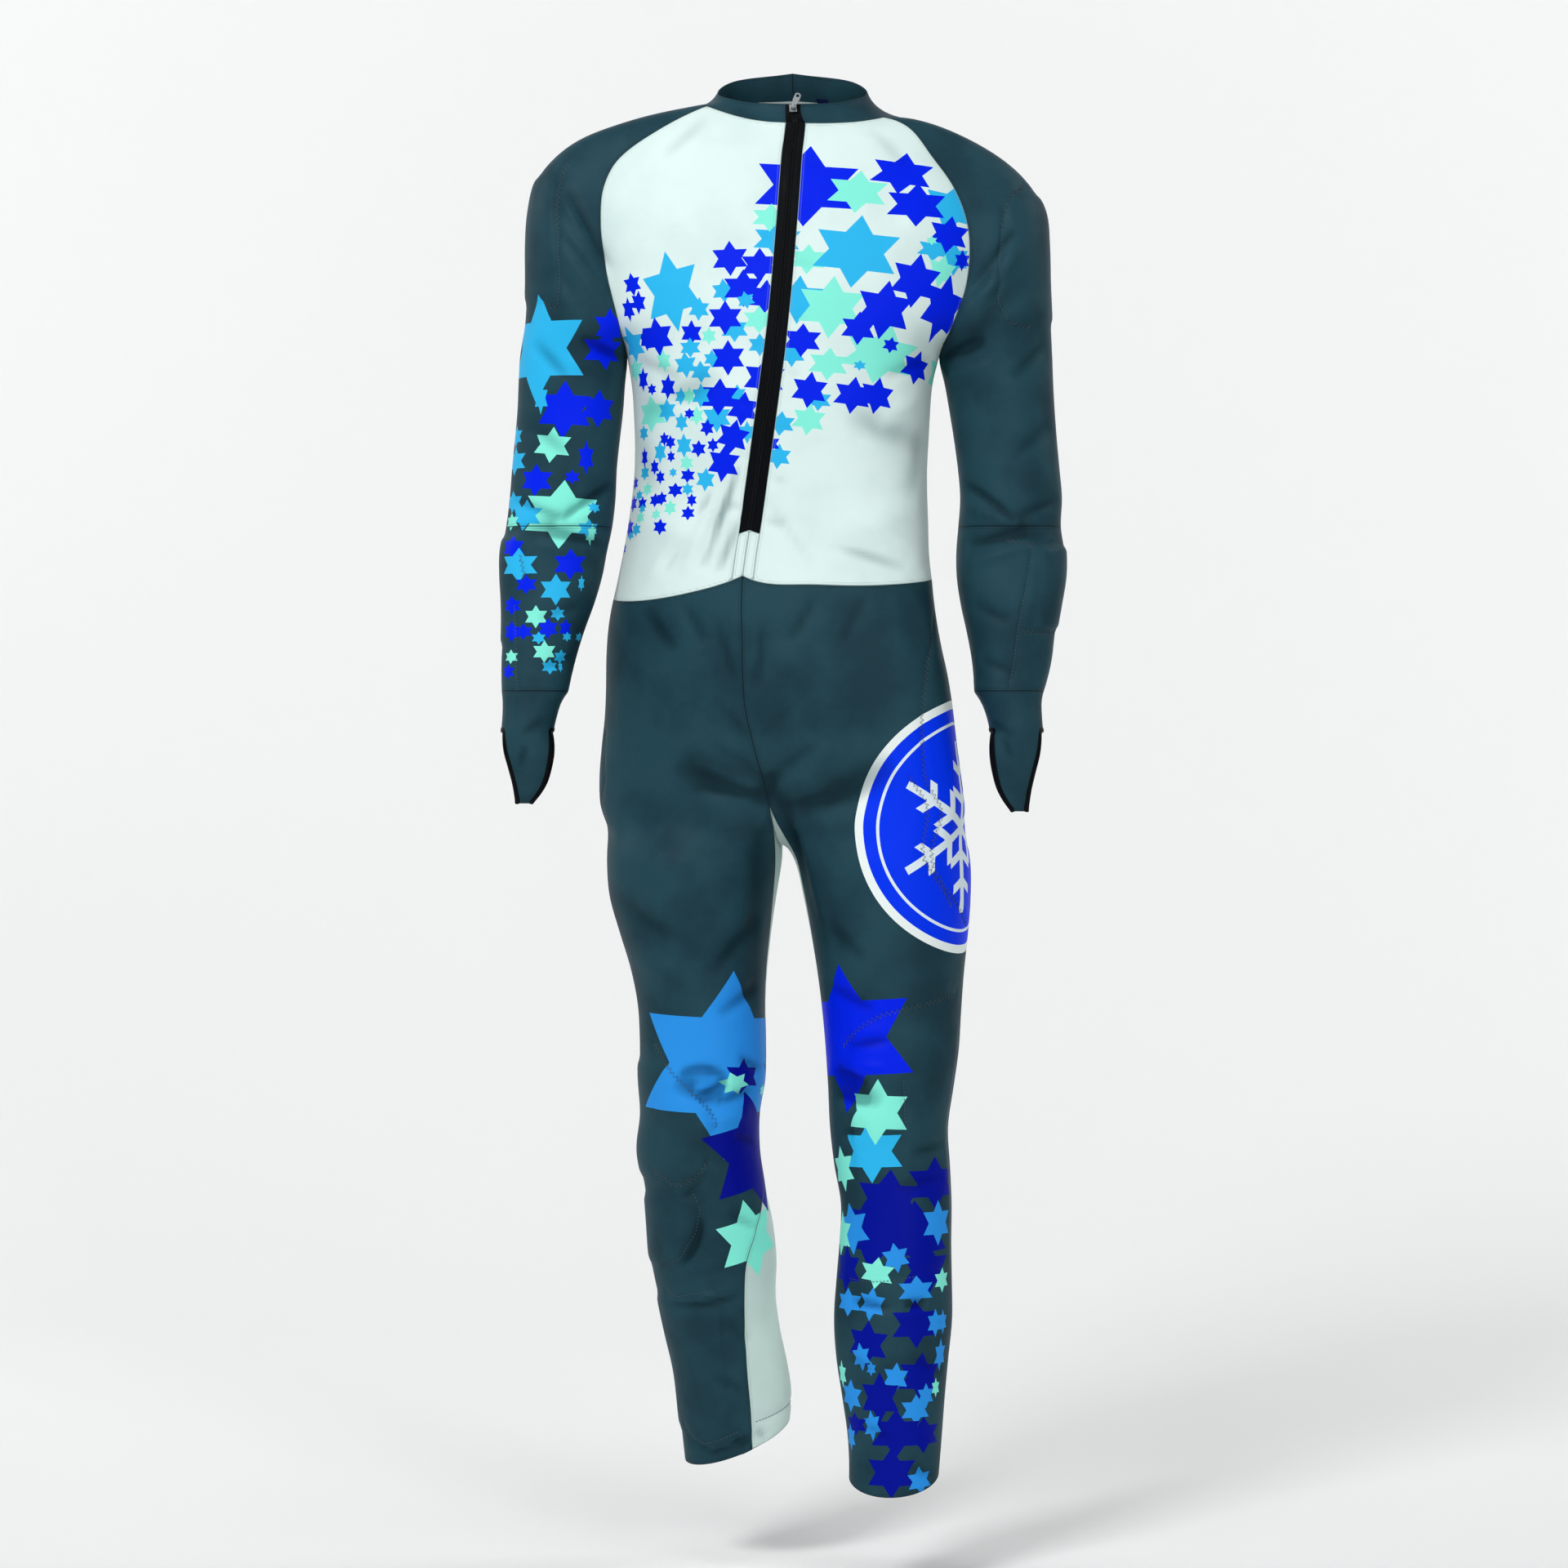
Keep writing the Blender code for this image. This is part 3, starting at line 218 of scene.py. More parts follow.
# Leg sections: height, middle, depth of the middle, half width, front depth, back depth, turn
# of the inner seam from the front
LEG = {
    "R": (
        (-745, -92.5, 18, 89, 92, 92, 68),
        (-790, -94, 16, 83.5, 88, 88, 76),
        (-834, -90, 13, 73.5, 82, 80, 82),
        (-880, -86, 9, 65.5, 73, 72, 85),
        (-920, -84, 6, 64, 68, 68, 84),
        (-966, -84, 4, 63.6, 66, 66, 87),
        (-1000, -85.5, 5, 59.5, 62, 64, 88),
        (-1032, -88, 7, 61.5, 60, 66, 88),
        (-1066, -83.4, 10, 61, 60, 69, 82),
        (-1099, -77.6, 13, 62, 60, 71, 60),
        (-1132, -74.8, 16, 64.8, 60, 71, 38),
        (-1165, -71.4, 19, 62.4, 59, 68, 29),
        (-1198, -68.6, 22, 58.6, 57, 63, 28),
        (-1231, -62, 25, 57.8, 55, 58, 22),
        (-1264, -54.9, 28, 56.6, 53, 55, 17),
        (-1297, -50.8, 30, 56.6, 52, 53, 16),
        (-1334, -49, 31, 53.5, 50, 51, 17),
    ),
    "L": (
        (-745, 97.5, -22, 88.5, 92, 92, 82),
        (-790, 103, -27, 83, 88, 88, 86),
        (-834, 105, -32, 76.8, 82, 82, 88),
        (-880, 106, -38, 71, 74, 74, 88),
        (-920, 107, -44, 68, 70, 70, 88),
        (-966, 105.7, -50, 63.6, 66, 66, 88),
        (-1000, 103.3, -54, 59.5, 62, 64, 88),
        (-1032, 104.5, -58, 59, 60, 66, 88),
        (-1066, 108.6, -62, 56.6, 58, 68, 88),
        (-1099, 111, -66, 55, 58, 69, 88),
        (-1132, 109, -70, 56.2, 58, 69, 88),
        (-1165, 108, -74, 57.8, 58, 67, 88),
        (-1198, 107, -78, 59, 57, 64, 88),
        (-1231, 106, -82, 56.6, 55, 58, 88),
        (-1264, 107, -86, 52.5, 51, 52, 88),
        (-1300, 107.6, -90, 48.4, 48, 48, 88),
        (-1333, 109, -94, 45.2, 45, 45, 88),
        (-1352, 107.4, -97, 44.6, 44, 44, 88),
    ),
}
# Turn of the column that goes down from the centre back: height, turn
INNER_BACK = ((-745.0, 236.0), (-880.0, 228.0), (-1100.0, 215.0), (-1368.0, 212.0))
OUTER_TURN = 145.0
# Hems: rise to the image right, rise to the back
HEM_SLOPE = {"R": (19.0, 12.0), "L": (3.0, 19.0)}
HEM_SPAN = 50.0  # the distance over which a hem rises that much
HEM_REACH = 150.0  # the height over which the slope fades out above a hem
LEG_RINGS = 17  # rings of a leg below the crotch

# Lowest line of the crotch between the legs: share of the way to the front, drop
CROTCH_DROP = ((0.0, 0.0), (0.2, 20.0), (0.4, 34.0), (0.6, 37.0), (0.8, 26.0), (1.0, 0.0))
# Grooves of the lower body: height, depth at the centre front, depth at the centre back
GROOVE = (
    (-545, 0, 0), (-580, 0, 2), (-615, 2, 6), (-650, 7, 14), (-692, 17, 28),
)
GROOVE_TURN = 24.0

# Largest folds, as ridges and troughs on the front of the suit: from and to, across and
# height, half width, height of the ridge
FOLDS = (
    (-168, -226, -222, -120, 15, 3.5), (-176, -205, -230, -150, 12, -3),
    (160, -224, 224, -128, 15, 3.5), (172, -238, 236, -160, 12, -3),
    (-152, -300, -60, -262, 16, -2.5), (140, -330, 60, -300, 16, -2.5),
    (-150, -400, -70, -428, 16, 3), (138, -392, 40, -420, 16, 3), (-20, -690, -110, -640, 18, -4),
    (-10, -700, -90, -690, 16, 3.5), (10, -700, 110, -645, 18, -4), (20, -712, 120, -700, 16, 3.5),
    (-112, -965, -62, -985, 14, -4), (-128, -990, -70, -1006, 14, 3.5),
    (44, -958, 96, -986, 14, -3.5), (64, -1010, 140, -1000, 14, 3),
    (-206, -400, -262, -420, 12, -3), (204, -402, 262, -424, 12, -3),
)

# Printed stars: place across and height on the print plane, reach, turn, width beside height,
# number of the ink
CHEST_STARS = (
    (171.7, -93.2, 25.6, -14, 1.51, 2), (151, -136.1, 12.4, -8, 1.7, 2),
    (173.5, -144.7, 17.3, 0, 1.13, 2), (206, -256.6, 23.1, -5, 1.7, 3),
    (21, -74.5, 41.1, -4, 1.4, 0), (117.7, -59.9, 21.7, -9, 1.69, 0),
    (132.1, -91.9, 22.5, -3, 1.57, 0), (167.2, -120.8, 19.4, -9, 1.33, 0),
    (71.9, -79.8, 21.8, -6, 1.54, 3), (159.4, -157.5, 16.9, -12, 1.07, 3),
    (147.8, -127.3, 5, 0, 1.34, 3), (183.5, -145.8, 10.7, 0, 0.99, 0),
    (21.8, -148.1, 15.3, -4, 1.32, 3), (70.4, -140, 36.8, -7, 1.3, 2),
    (-8.5, -128.3, 18.2, -4, 1.45, 2), (-15, -106.3, 14.2, -3, 1.44, 3),
    (-55.3, -147.1, 17.8, 2, 1.13, 0), (-25.7, -153.9, 17.3, 0, 1.21, 0),
    (-61.4, -179.3, 12.4, 5, 1.07, 2), (-41.9, -176.8, 19, 0, 1.17, 0),
    (-20.2, -186, 17.8, -5, 1.12, 0), (-39.5, -188.9, 9.1, 12, 1.07, 2),
    (-114.9, -179.1, 40.9, 11, 0.79, 2), (-157.9, -170.6, 12, 8, 0.92, 0),
    (-152, -188.6, 12, -6, 0.8, 0), (-165.4, -194.8, 12.4, 0, 0.7, 0),
    (-86.6, -197.2, 12, -3, 1, 2), (-50.7, -217.5, 13.2, 0, 1.16, 2),
    (-60.1, -206.3, 17.3, 0, 1.1, 0), (-26.3, -208.2, 14, 0, 1.26, 3),
    (12.7, -188.5, 24.4, -4, 1.14, 2), (45.2, -195.8, 31.4, -5, 1.17, 3),
    (165, -194, 34.7, -12, 0.81, 0), (131.5, -168.1, 27.7, -10, 1.05, 0),
    (97.9, -241.6, 29.7, -12, 1.62, 3), (98.9, -197.7, 29.7, -9, 1.09, 0),
    (72.8, -216.4, 16.9, -4, 1.18, 0), (107.9, -232.1, 8.3, -8, 1.25, 0),
    (74.3, -253.1, 5.4, -5, 1.38, 2), (144.6, -252.9, 17.3, -12, 1.4, 0),
    (5.8, -242.5, 13.2, 0, 1.14, 2), (16.2, -228.7, 16.9, -4, 1.26, 0),
    (42.6, -252.2, 16.5, -5, 1.37, 3), (32.6, -287.7, 11.2, -3, 1.29, 2),
    (23.7, -278.1, 18.6, -7, 1.06, 0), (67.4, -282.8, 18.8, -8, 1.17, 0),
    (93, -282.6, 18.6, -10, 1.12, 0), (22.8, -307.1, 16.1, -8, 1.13, 3),
    (-4.8, -311, 12.4, -6, 1.26, 2), (-7.1, -343.3, 12.8, -6, 1.1, 2),
    (-15.8, -330.9, 9.9, 0, 1.17, 0), (-21.3, -266.2, 20.6, -5, 1.1, 0),
    (-95.1, -220.8, 13.2, -3, 0.95, 0), (-151, -224.9, 11.6, 0, 0.99, 0),
    (-134.1, -223.2, 19.4, 2, 1.06, 0), (-74, -246.5, 9.1, 0, 1.06, 2),
    (-57.4, -245.8, 17.8, 0, 1.06, 0), (-69.7, -304.2, 15.3, 0, 1.09, 2),
    (-48.3, -281.8, 9.9, 0, 1.01, 2), (-67, -284.2, 18.6, -3, 1.21, 0),
    (-25.6, -233.3, 11.6, 0, 1.11, 2), (-76.8, -224, 9.1, 0, 0.94, 3),
    (-96.9, -235, 9.9, 0, 1.31, 2), (-102.7, -251.8, 13.2, 3, 1.06, 2),
    (-86.3, -259.2, 11.2, 0, 1.12, 2), (-129.3, -246.9, 11.6, 0, 0.95, 3),
    (-176.2, -228.4, 18.2, 0, 1.29, 2), (-180.3, -253, 12.4, 0, 1.59, 3),
    (-163, -263.6, 12.4, 0, 0.9, 0), (-147.6, -274, 6.2, 0, 1.26, 0),
    (-125.6, -272.7, 12.8, -5, 0.79, 0), (-151.8, -298.3, 19, 0, 1.4, 3),
    (-127.6, -296.1, 12, 0, 1.14, 2), (-109.9, -282.6, 9.1, 0, 0.91, 2),
    (-100.1, -282.6, 9.1, 0, 0.93, 3), (-86.9, -282.5, 12.4, 0, 0.9, 2),
    (-38.5, -319.5, 11.6, 0, 0.84, 2), (-42.6, -296.2, 17.3, -8, 1.03, 0),
    (-53.2, -324, 18.2, -15, 1, 0), (-63.1, -349.7, 19, -8, 0.97, 0),
    (-82.7, -365.3, 12, -6, 0.95, 2), (-79.9, -314.5, 8.7, -8, 0.97, 0),
    (-89.8, -334.8, 8.7, -4, 1.07, 0), (-74, -331.5, 7.4, 0, 0.94, 0),
    (-102.6, -360.7, 7.8, -5, 1.22, 0), (-117.8, -375.1, 7.8, -3, 1.38, 0),
    (-102.9, -374.4, 7, 0, 1.09, 2), (-135.1, -411.2, 8.5, -5, 1.22, 0),
    (-102.4, -398.2, 7.4, 0, 1.14, 0), (-98.3, -385.4, 7, 0, 0.91, 0),
    (-123.6, -392.5, 8.3, 0, 1.06, 3), (-144.5, -384.2, 7.4, 0, 1.24, 0),
    (-135.2, -382.8, 7.4, 0, 1.1, 0), (-167.2, -387.1, 7.8, 0, 1.41, 0),
    (-165.4, -392.3, 5, 0, 1.57, 2), (-159.9, -372.9, 7.4, 0, 1.31, 3),
    (-138.1, -361.5, 7.4, 0, 1.04, 0), (-147.3, -351.2, 8.3, 0, 1.04, 0),
    (-120.3, -357.4, 5, 0, 1.14, 2), (-103.7, -348.5, 8.3, 0, 1.07, 3),
    (-137.8, -336.7, 11.6, 0, 0.87, 2), (-106.4, -331.3, 12.4, 0, 0.83, 2),
    (-122.7, -341.6, 6.2, 0, 0.96, 0), (-123.2, -327.4, 7.4, 0, 1.02, 0),
    (-131.3, -324, 7.4, 0, 0.97, 0), (-168.9, -316.6, 8.3, 0, 1.49, 2),
    (-108.6, -308.2, 9.9, 0, 0.88, 2), (-91.4, -302.3, 9.9, 0, 0.91, 3),
    (-99.2, -299.9, 5.8, 0, 1.13, 0), (-168.6, -340.6, 10.7, 0, 0.76, 0),
    (-167.1, -356.1, 8.3, 0, 1.21, 2), (-192.8, -365.6, 7.4, 0, 1.7, 0),
    (-176.4, -378.2, 5.8, 0, 1.7, 2), (-193.1, -386.1, 9.1, 0, 1.63, 0),
    (-167.9, -401.1, 6.6, 0, 1.64, 3), (-176.3, -412.7, 7.4, 0, 1.7, 2),
    (-190.7, -417.2, 6.6, 0, 1.68, 2), (-199.8, -410, 9.9, 0, 1.7, 0),
    (-213, -431.3, 6.6, 0, 1.7, 0), (-141.4, -398.7, 5.8, 0, 1.24, 3),
)
SLEEVE_STARS = (
    (-253.2, -232.1, 54.5, 0, 1.08, 2), (-173.6, -211, 18.2, 0, 1.02, 0),
    (-178, -234.1, 19, 0, 1.44, 0), (-185.2, -292, 19, -3, 1.26, 0),
    (-221.9, -293.6, 29.3, -3, 1.08, 0), (-234.4, -328.8, 18.2, -6, 1.2, 3),
    (-247, -281.7, 16.5, 0, 0.55, 2), (-198.9, -341.4, 17.3, 0, 0.55, 0),
    (-288.2, -343.6, 14.9, 0, 1.7, 2), (-290.4, -318.5, 11.6, 0, 1.59, 2),
    (-251.9, -363.9, 16.5, -3, 1.26, 0), (-213.5, -360.9, 7.4, 0, 1.18, 0),
    (-224.1, -398.6, 34.7, -4, 1.29, 3), (-265.2, -398.6, 15.7, -5, 1.46, 2),
    (-195.1, -412.5, 9.9, 0, 1.37, 2), (-189.8, -391.3, 5.8, 0, 1.3, 2),
    (-190.4, -418, 11.6, 0, 0.55, 3), (-215.1, -448.4, 15.7, 0, 1.2, 0),
    (-278.2, -431.2, 12.4, 0, 1.34, 0), (-269.8, -449, 17.3, 0, 1.43, 2),
    (-260.7, -468.6, 9.9, 0, 1.4, 0), (-229.5, -473.9, 15.9, 0, 1.11, 2),
    (-201.6, -467.4, 8.3, 0, 0.55, 2), (-277.7, -489.6, 9.9, 0, 1.32, 0),
    (-249.6, -501, 11.6, 0, 1.14, 3), (-227, -497.9, 7.4, 0, 1.18, 2),
    (-237.2, -512.8, 10.7, 0, 1.07, 0), (-262.7, -516, 8.3, 0, 1.38, 0),
    (-277.3, -516, 10.7, 0, 1.12, 0), (-218.5, -512.6, 9.9, 0, 0.84, 0),
    (-246.5, -522.4, 6.6, 0, 1.2, 2), (-240.7, -536, 11.2, 0, 1.16, 3),
    (-215.9, -521, 5, 0, 1.33, 2), (-195.2, -521, 5, 0, 1.7, 2), (-222.1, -541, 7.4, 0, 1.24, 2),
    (-234.5, -551, 7.8, 0, 1.25, 2), (-278.5, -541, 7.4, 0, 1.4, 3),
    (-282.4, -556, 8.3, 0, 1.27, 0), (-287.2, -405, 9.1, 0, 1.7, 3),
    (-287.8, -385, 11.6, 0, 1.7, 2), (-221.8, -551, 5.8, 0, 0.55, 2),
)
RIGHT_LEG_STARS = (
    (-55.2, -950, 95, -3, 1.15, 5), (-37.5, -961.6, 18.2, -5, 1.4, 1),
    (-48.2, -968.3, 12.4, 20, 1.48, 3), (-15.2, -1039.5, 64.4, 15, 1.12, 1),
    (-29.4, -1125.3, 40.5, 15, 1.01, 3), (2.9, -978.2, 6.6, 0, 1.5, 3),
    (17.7, -941.4, 8.3, 0, 0.6, 1),
)
# Stars of ink 4 are royal stars in a darker ink: painted shade where the light falls off down the
# leg
LEFT_LEG_STARS = (
    (28.3, -920.2, 24, 5, 0.8, 2), (51.9, -920.2, 73.5, 4, 1.12, 0),
    (84.5, -1030.5, 31.4, 2, 1.1, 2), (90.2, -991.6, 32.6, -2, 1.04, 3),
    (45.5, -1050, 23.1, 8, 0.85, 3), (101.4, -1078.4, 30.6, -4, 1.2, 4),
    (151.1, -1063, 26, 0, 1.34, 4), (87.5, -1110.1, 38, -6, 1.15, 4),
    (130.1, -1112.9, 34.7, 5, 1.16, 4), (154.2, -1101.9, 22.3, 0, 0.94, 5),
    (57.1, -1108.4, 25.6, 10, 1.06, 5), (35.4, -1114.9, 22.3, 0, 1.04, 3),
    (141.8, -1147.4, 26.4, 0, 1.17, 4), (50.2, -1147.4, 23.1, 0, 0.99, 4),
    (108.5, -1134.4, 14.9, 10, 0.95, 5), (89.5, -1149.5, 15.7, -8, 1.22, 3),
    (162.7, -1158.3, 12.4, 0, 1.04, 3), (129.7, -1166.8, 14.9, 0, 1.43, 5),
    (54.9, -1179.8, 14, 0, 1.38, 5), (83.8, -1179.8, 16.9, -8, 0.91, 5),
    (129.3, -1199.3, 24, 0, 1.17, 4), (79.1, -1218.8, 23.1, -5, 1.04, 4),
    (152, -1199.3, 14, 0, 0.81, 5), (163.6, -1199.3, 12.4, 0, 0.62, 5),
    (71.9, -1231.9, 14, 8, 0.84, 5), (83.1, -1243, 7.4, 0, 0.8, 5),
    (135.2, -1251.1, 24, -3, 1.13, 4), (108.3, -1251.4, 15.3, -5, 0.89, 5),
    (92.3, -1271.5, 25.6, 0, 0.86, 4), (57, -1272.1, 16.9, -5, 1.03, 5),
    (140.6, -1270.2, 12.4, 0, 0.9, 5), (129.1, -1283.4, 15.3, 0, 1.15, 5),
    (108.4, -1306.3, 24, 0, 1.21, 4), (137.7, -1308.6, 18.2, 0, 1.38, 4),
    (83.7, -1298.9, 15.3, 8, 0.67, 5), (62.2, -1299.5, 11.6, 0, 1.5, 4),
    (52.5, -1313.6, 14, 0, 0.72, 5), (103.9, -1345, 24.8, 0, 1.14, 4),
    (134.7, -1353.1, 14, 5, 1.16, 5), (42.6, -1251.8, 14, 0, 0.66, 3),
    (154.3, -1263.5, 9.9, 0, 0.69, 3), (161, -1231.6, 16.5, 0, 0.6, 5),
)

# Small folds, like those of FOLDS, with a bow where there is a seventh number
FRONT_FOLDS = (
    (-47, -351, -84, -454, 5.4, -4.1), (-57, -359, -102, -459, 5.4, 3.1),
    (-68, -372, -124, -458, 6, -3.1), (-79, -395, -142, -464, 7, 2.6),
    (-47, -405, -68, -459, 5.4, -2.9), (-26, -372, 31, -458, 7, -1.2),
    (-14, -339, 56, -413, 8, 0.8), (40, -428, 122, -454, 7, -2.4), (81, -405, 139, -446, 8, 2.2),
    (19, -50, 41, -55, 5.4, -1), (-18, -70, 0, -74, 5.4, -1), (15, -93, 35, -97, 5.4, -0.9),
    (-26, -124, -10, -129, 5.4, -1), (8, -149, 31, -155, 5.4, -1),
    (-33, -175, -15, -180, 5.4, -0.9), (3, -205, 25, -210, 5.4, -1),
    (-40, -231, -20, -237, 5.4, -1), (-3, -258, 18, -264, 5.4, -1),
    (-46, -287, -26, -294, 5.4, -1), (-8, -312, 13, -319, 5.4, -1),
    (-53, -339, -33, -345, 5.4, -1), (-15, -363, 5, -370, 5.4, -1.4),
    (-59, -390, -40, -395, 5.4, -1.4), (-21, -406, -2, -411, 5.4, -1.4),
    (-76, 0, -124, -45, 8, -1.5), (81, -12, 129, -58, 8, -1.5), (-134, -83, -93, -149, 12, 1.4),
    (139, -91, 97, -157, 12, 1.4), (-154, -240, -105, -264, 7, -2.1),
    (-149, -264, -93, -306, 8, 1.5), (149, -241, 97, -264, 7, -2.1),
    (143, -273, 91, -314, 8, 1.5), (-152, -306, -134, -380, 9, -1.7),
    (144, -306, 124, -388, 9, -1.7), (-226, -74, -179, -161, 5.4, 3.8),
    (-221, -71, -174, -158, 5.4, -3.8), (-226, -106, -177, -173, 5.4, 3.5),
    (-225, -116, -182, -178, 5.4, -3.5), (230, -112, 182, -183, 5.4, -4.6),
    (215, -161, 192, -186, 5.4, 3.5), (238, -124, 193, -193, 5.4, 2.3),
    (-163, -240, -206, -223, 6, -4.3), (-167, -258, -216, -246, 6, 3.2),
    (155, -240, 201, -226, 6, -4.3), (162, -261, 208, -249, 6, 3.2),
    (-254, -223, -216, -264, 7, -2.6), (263, -223, 226, -264, 7, -2.6),
    (-258, -306, -216, -339, 8, -2.3), (266, -306, 226, -344, 8, -2.3),
    (-170, -363, -225, -405, 5.4, -4.1), (-175, -388, -233, -410, 5.4, 2.9),
    (-180, -428, -241, -415, 5.4, -3.8), (-185, -446, -254, -425, 5.4, 2.6),
    (-276, -382, -225, -401, 5.4, -2.6), (177, -363, 230, -405, 5.4, -4.1),
    (178, -388, 235, -410, 5.4, 2.9), (182, -428, 243, -415, 5.4, -3.8),
    (185, -448, 248, -428, 5.4, 2.6), (276, -382, 230, -401, 5.4, -2.6),
    (-200, -487, -249, -504, 6, -2.3), (188, -489, 226, -507, 6, -2.3),
    (-206, -537, -249, -555, 6, -2.3), (193, -542, 230, -558, 6, -2.3),
    (-259, -629, -266, -653, 5.4, -2.6), (-236, -603, -266, -620, 5.4, -2.3),
    (193, -603, 230, -621, 5.4, -2.3), (215, -620, 226, -644, 5.4, -2.3),
    (-142, -491, -109, -537, 8, -3.2), (-101, -487, -78, -529, 7, -2.6),
    (31, -477, 2, -529, 7, -2.6), (81, -476, 48, -537, 8, -2.3), (-68, -504, -51, -570, 6, -2.6),
    (-21, -504, -31, -578, 6, -2.6), (-22, -661, -83, -620, 6, -1.5),
    (-26, -673, -93, -644, 5.4, 2), (-22, -681, -96, -672, 5.4, -2.1),
    (-18, -661, 35, -624, 6, -1.5), (-12, -673, 48, -649, 5.4, 2), (-8, -690, 51, -681, 5.4, -2),
    (-18, -702, -68, -710, 5.4, 1.5), (0, -710, 48, -710, 5.4, 1.4),
    (-35, -624, -76, -578, 6, -1.5), (-31, -624, 15, -583, 6, -1.5),
    (-51, -595, -21, -673, 13, -1.2), (23, -611, -18, -673, 12, -1.2),
    (-20, -657, -15, -702, 9, -3), (-12, -653, 33, -826, 8, -3), (-26, -669, -30, -892, 11, -2.7),
    (-4, -648, 50, -851, 6, 2.1), (3, -669, 31, -900, 6, -2.5), (-167, -785, -109, -826, 9, -2.3),
    (-150, -843, -84, -876, 9, 2.6), (-26, -801, -76, -859, 8, -2.9),
    (-21, -867, -68, -900, 7, -2.9), (34, -801, 81, -843, 8, -2.6), (40, -867, 89, -892, 7, -2.9),
    (106, -851, 164, -867, 9, 2.3), (-106, -957, -56, -963, 5.4, -4.3, -7),
    (-88, -983, -56, -966, 5.4, -5), (-93, -972, -66, -971, 5.4, 3.5),
    (-68, -987, -31, -975, 5.4, -3.5), (-84, -1009, -35, -999, 6, 2.9),
    (-47, -942, -21, -957, 5.4, -3.5), (-51, -1020, -26, -1032, 5.4, -2.9),
    (-78, -1050, -103, -1076, 5.4, 2.9), (-103, -1076, -126, -1066, 5.4, 2.9),
    (-81, -1057, -104, -1084, 5.4, -3.2), (-85, -1099, -108, -1154, 5.4, -4.9, -6),
    (-102, -1156, -62, -1150, 5.4, 3.2), (-121, -1184, -44, -1173, 5.4, 3.5, 5),
    (-121, -1190, -44, -1180, 5.4, -4.1, 5), (-99, -1322, -47, -1321, 5.4, 3.8, 12),
    (-99, -1329, -46, -1327, 5.4, -3.5, 12), (-51, -1326, -41, -1340, 5.4, -2.9),
    (-43, -1323, -35, -1336, 5.4, -2.6), (-30, -1318, -20, -1330, 5.4, -2.3),
    (-59, -1099, -26, -1115, 6, -2.3), (-64, -1206, -35, -1231, 7, -2),
    (-76, -1264, -40, -1280, 7, -2), (61, -927, 106, -919, 5.4, -3.2),
    (56, -947, 101, -950, 5.4, 2.9), (46, -950, 81, -965, 5.4, -4.1),
    (48, -975, 84, -981, 5.4, -3.2), (53, -993, 89, -993, 5.4, 2.6),
    (53, -1014, 83, -1009, 5.4, -3.2), (122, -1032, 160, -1026, 6, -2.6),
    (106, -1066, 155, -1057, 7, -2.3), (116, -1180, 140, -1178, 5.4, -4.6),
    (64, -1176, 106, -1186, 5.4, -3.8), (73, -1191, 131, -1191, 5.4, 2.9),
    (59, -1231, 89, -1247, 6, -2.3), (122, -1231, 155, -1247, 7, -2),
    (73, -1297, 106, -1313, 6, -2.3), (122, -1338, 147, -1351, 5.4, -2.3),
)
BACK_FOLDS = (
    (-150, -40, -60, -70, 12, -1.5), (150, -40, 60, -70, 12, -1.5),
    (-120, -200, -60, -260, 10, -1.5), (120, -200, 60, -260, 10, -1.5),
    (-100, -400, -20, -420, 9, -2), (100, -396, 20, -424, 9, -2), (-90, -430, 0, -440, 8, 1.5),
    (80, -436, 10, -446, 8, 1.4), (-110, -452, -30, -458, 7, -1.7),
    (110, -455, 30, -459, 7, -1.7), (-110, -640, -30, -690, 8, -2.1),
    (120, -640, 40, -692, 8, -2.1), (-100, -668, -40, -716, 7, 1.5),
    (120, -672, 50, -720, 7, 1.5), (-130, -940, -40, -950, 7, -2.4),
    (-125, -964, -40, -966, 6, 1.8), (-120, -985, -45, -980, 7, -2.2),
    (70, -930, 150, -944, 7, -2.4), (70, -956, 150, -962, 6, 1.8), (72, -980, 148, -976, 7, -2.2),
    (-270, -395, -215, -405, 6, -1.8), (-268, -420, -214, -416, 6, -1.7),
    (215, -395, 270, -405, 6, -1.8), (214, -420, 268, -416, 6, -1.7),
    (-100, -1150, -50, -1180, 9, -1.2), (90, -1150, 140, -1180, 9, -1.2),
)


def smooth(keys, values, at):
    """A smooth curve through values at keys, read at at."""
    keys = np.asarray(keys, float)
    values = np.asarray(values, float)
    if keys[0] > keys[-1]:
        keys, values = keys[::-1], values[::-1]
    slopes = np.gradient(values, keys)
    at = np.clip(np.asarray(at, float), keys[0], keys[-1])
    i = np.clip(np.searchsorted(keys, at) - 1, 0, len(keys) - 2)
    span = keys[i + 1] - keys[i]
    t = (at - keys[i]) / span
    rise = t * t * (3 - 2 * t)
    curve = values[i] * (1 - rise) + values[i + 1] * rise
    curve = curve + slopes[i] * span * (t - 2 * t * t + t**3)
    return curve + slopes[i + 1] * span * (t**3 - t * t)


def column(table, number, at):
    """One column of a table, read at heights or shares at."""
    rows = np.array(table, float)
    return smooth(rows[:, 0], rows[:, number], at)


def power(value, exponent):
    return np.sign(value) * np.abs(value) ** exponent


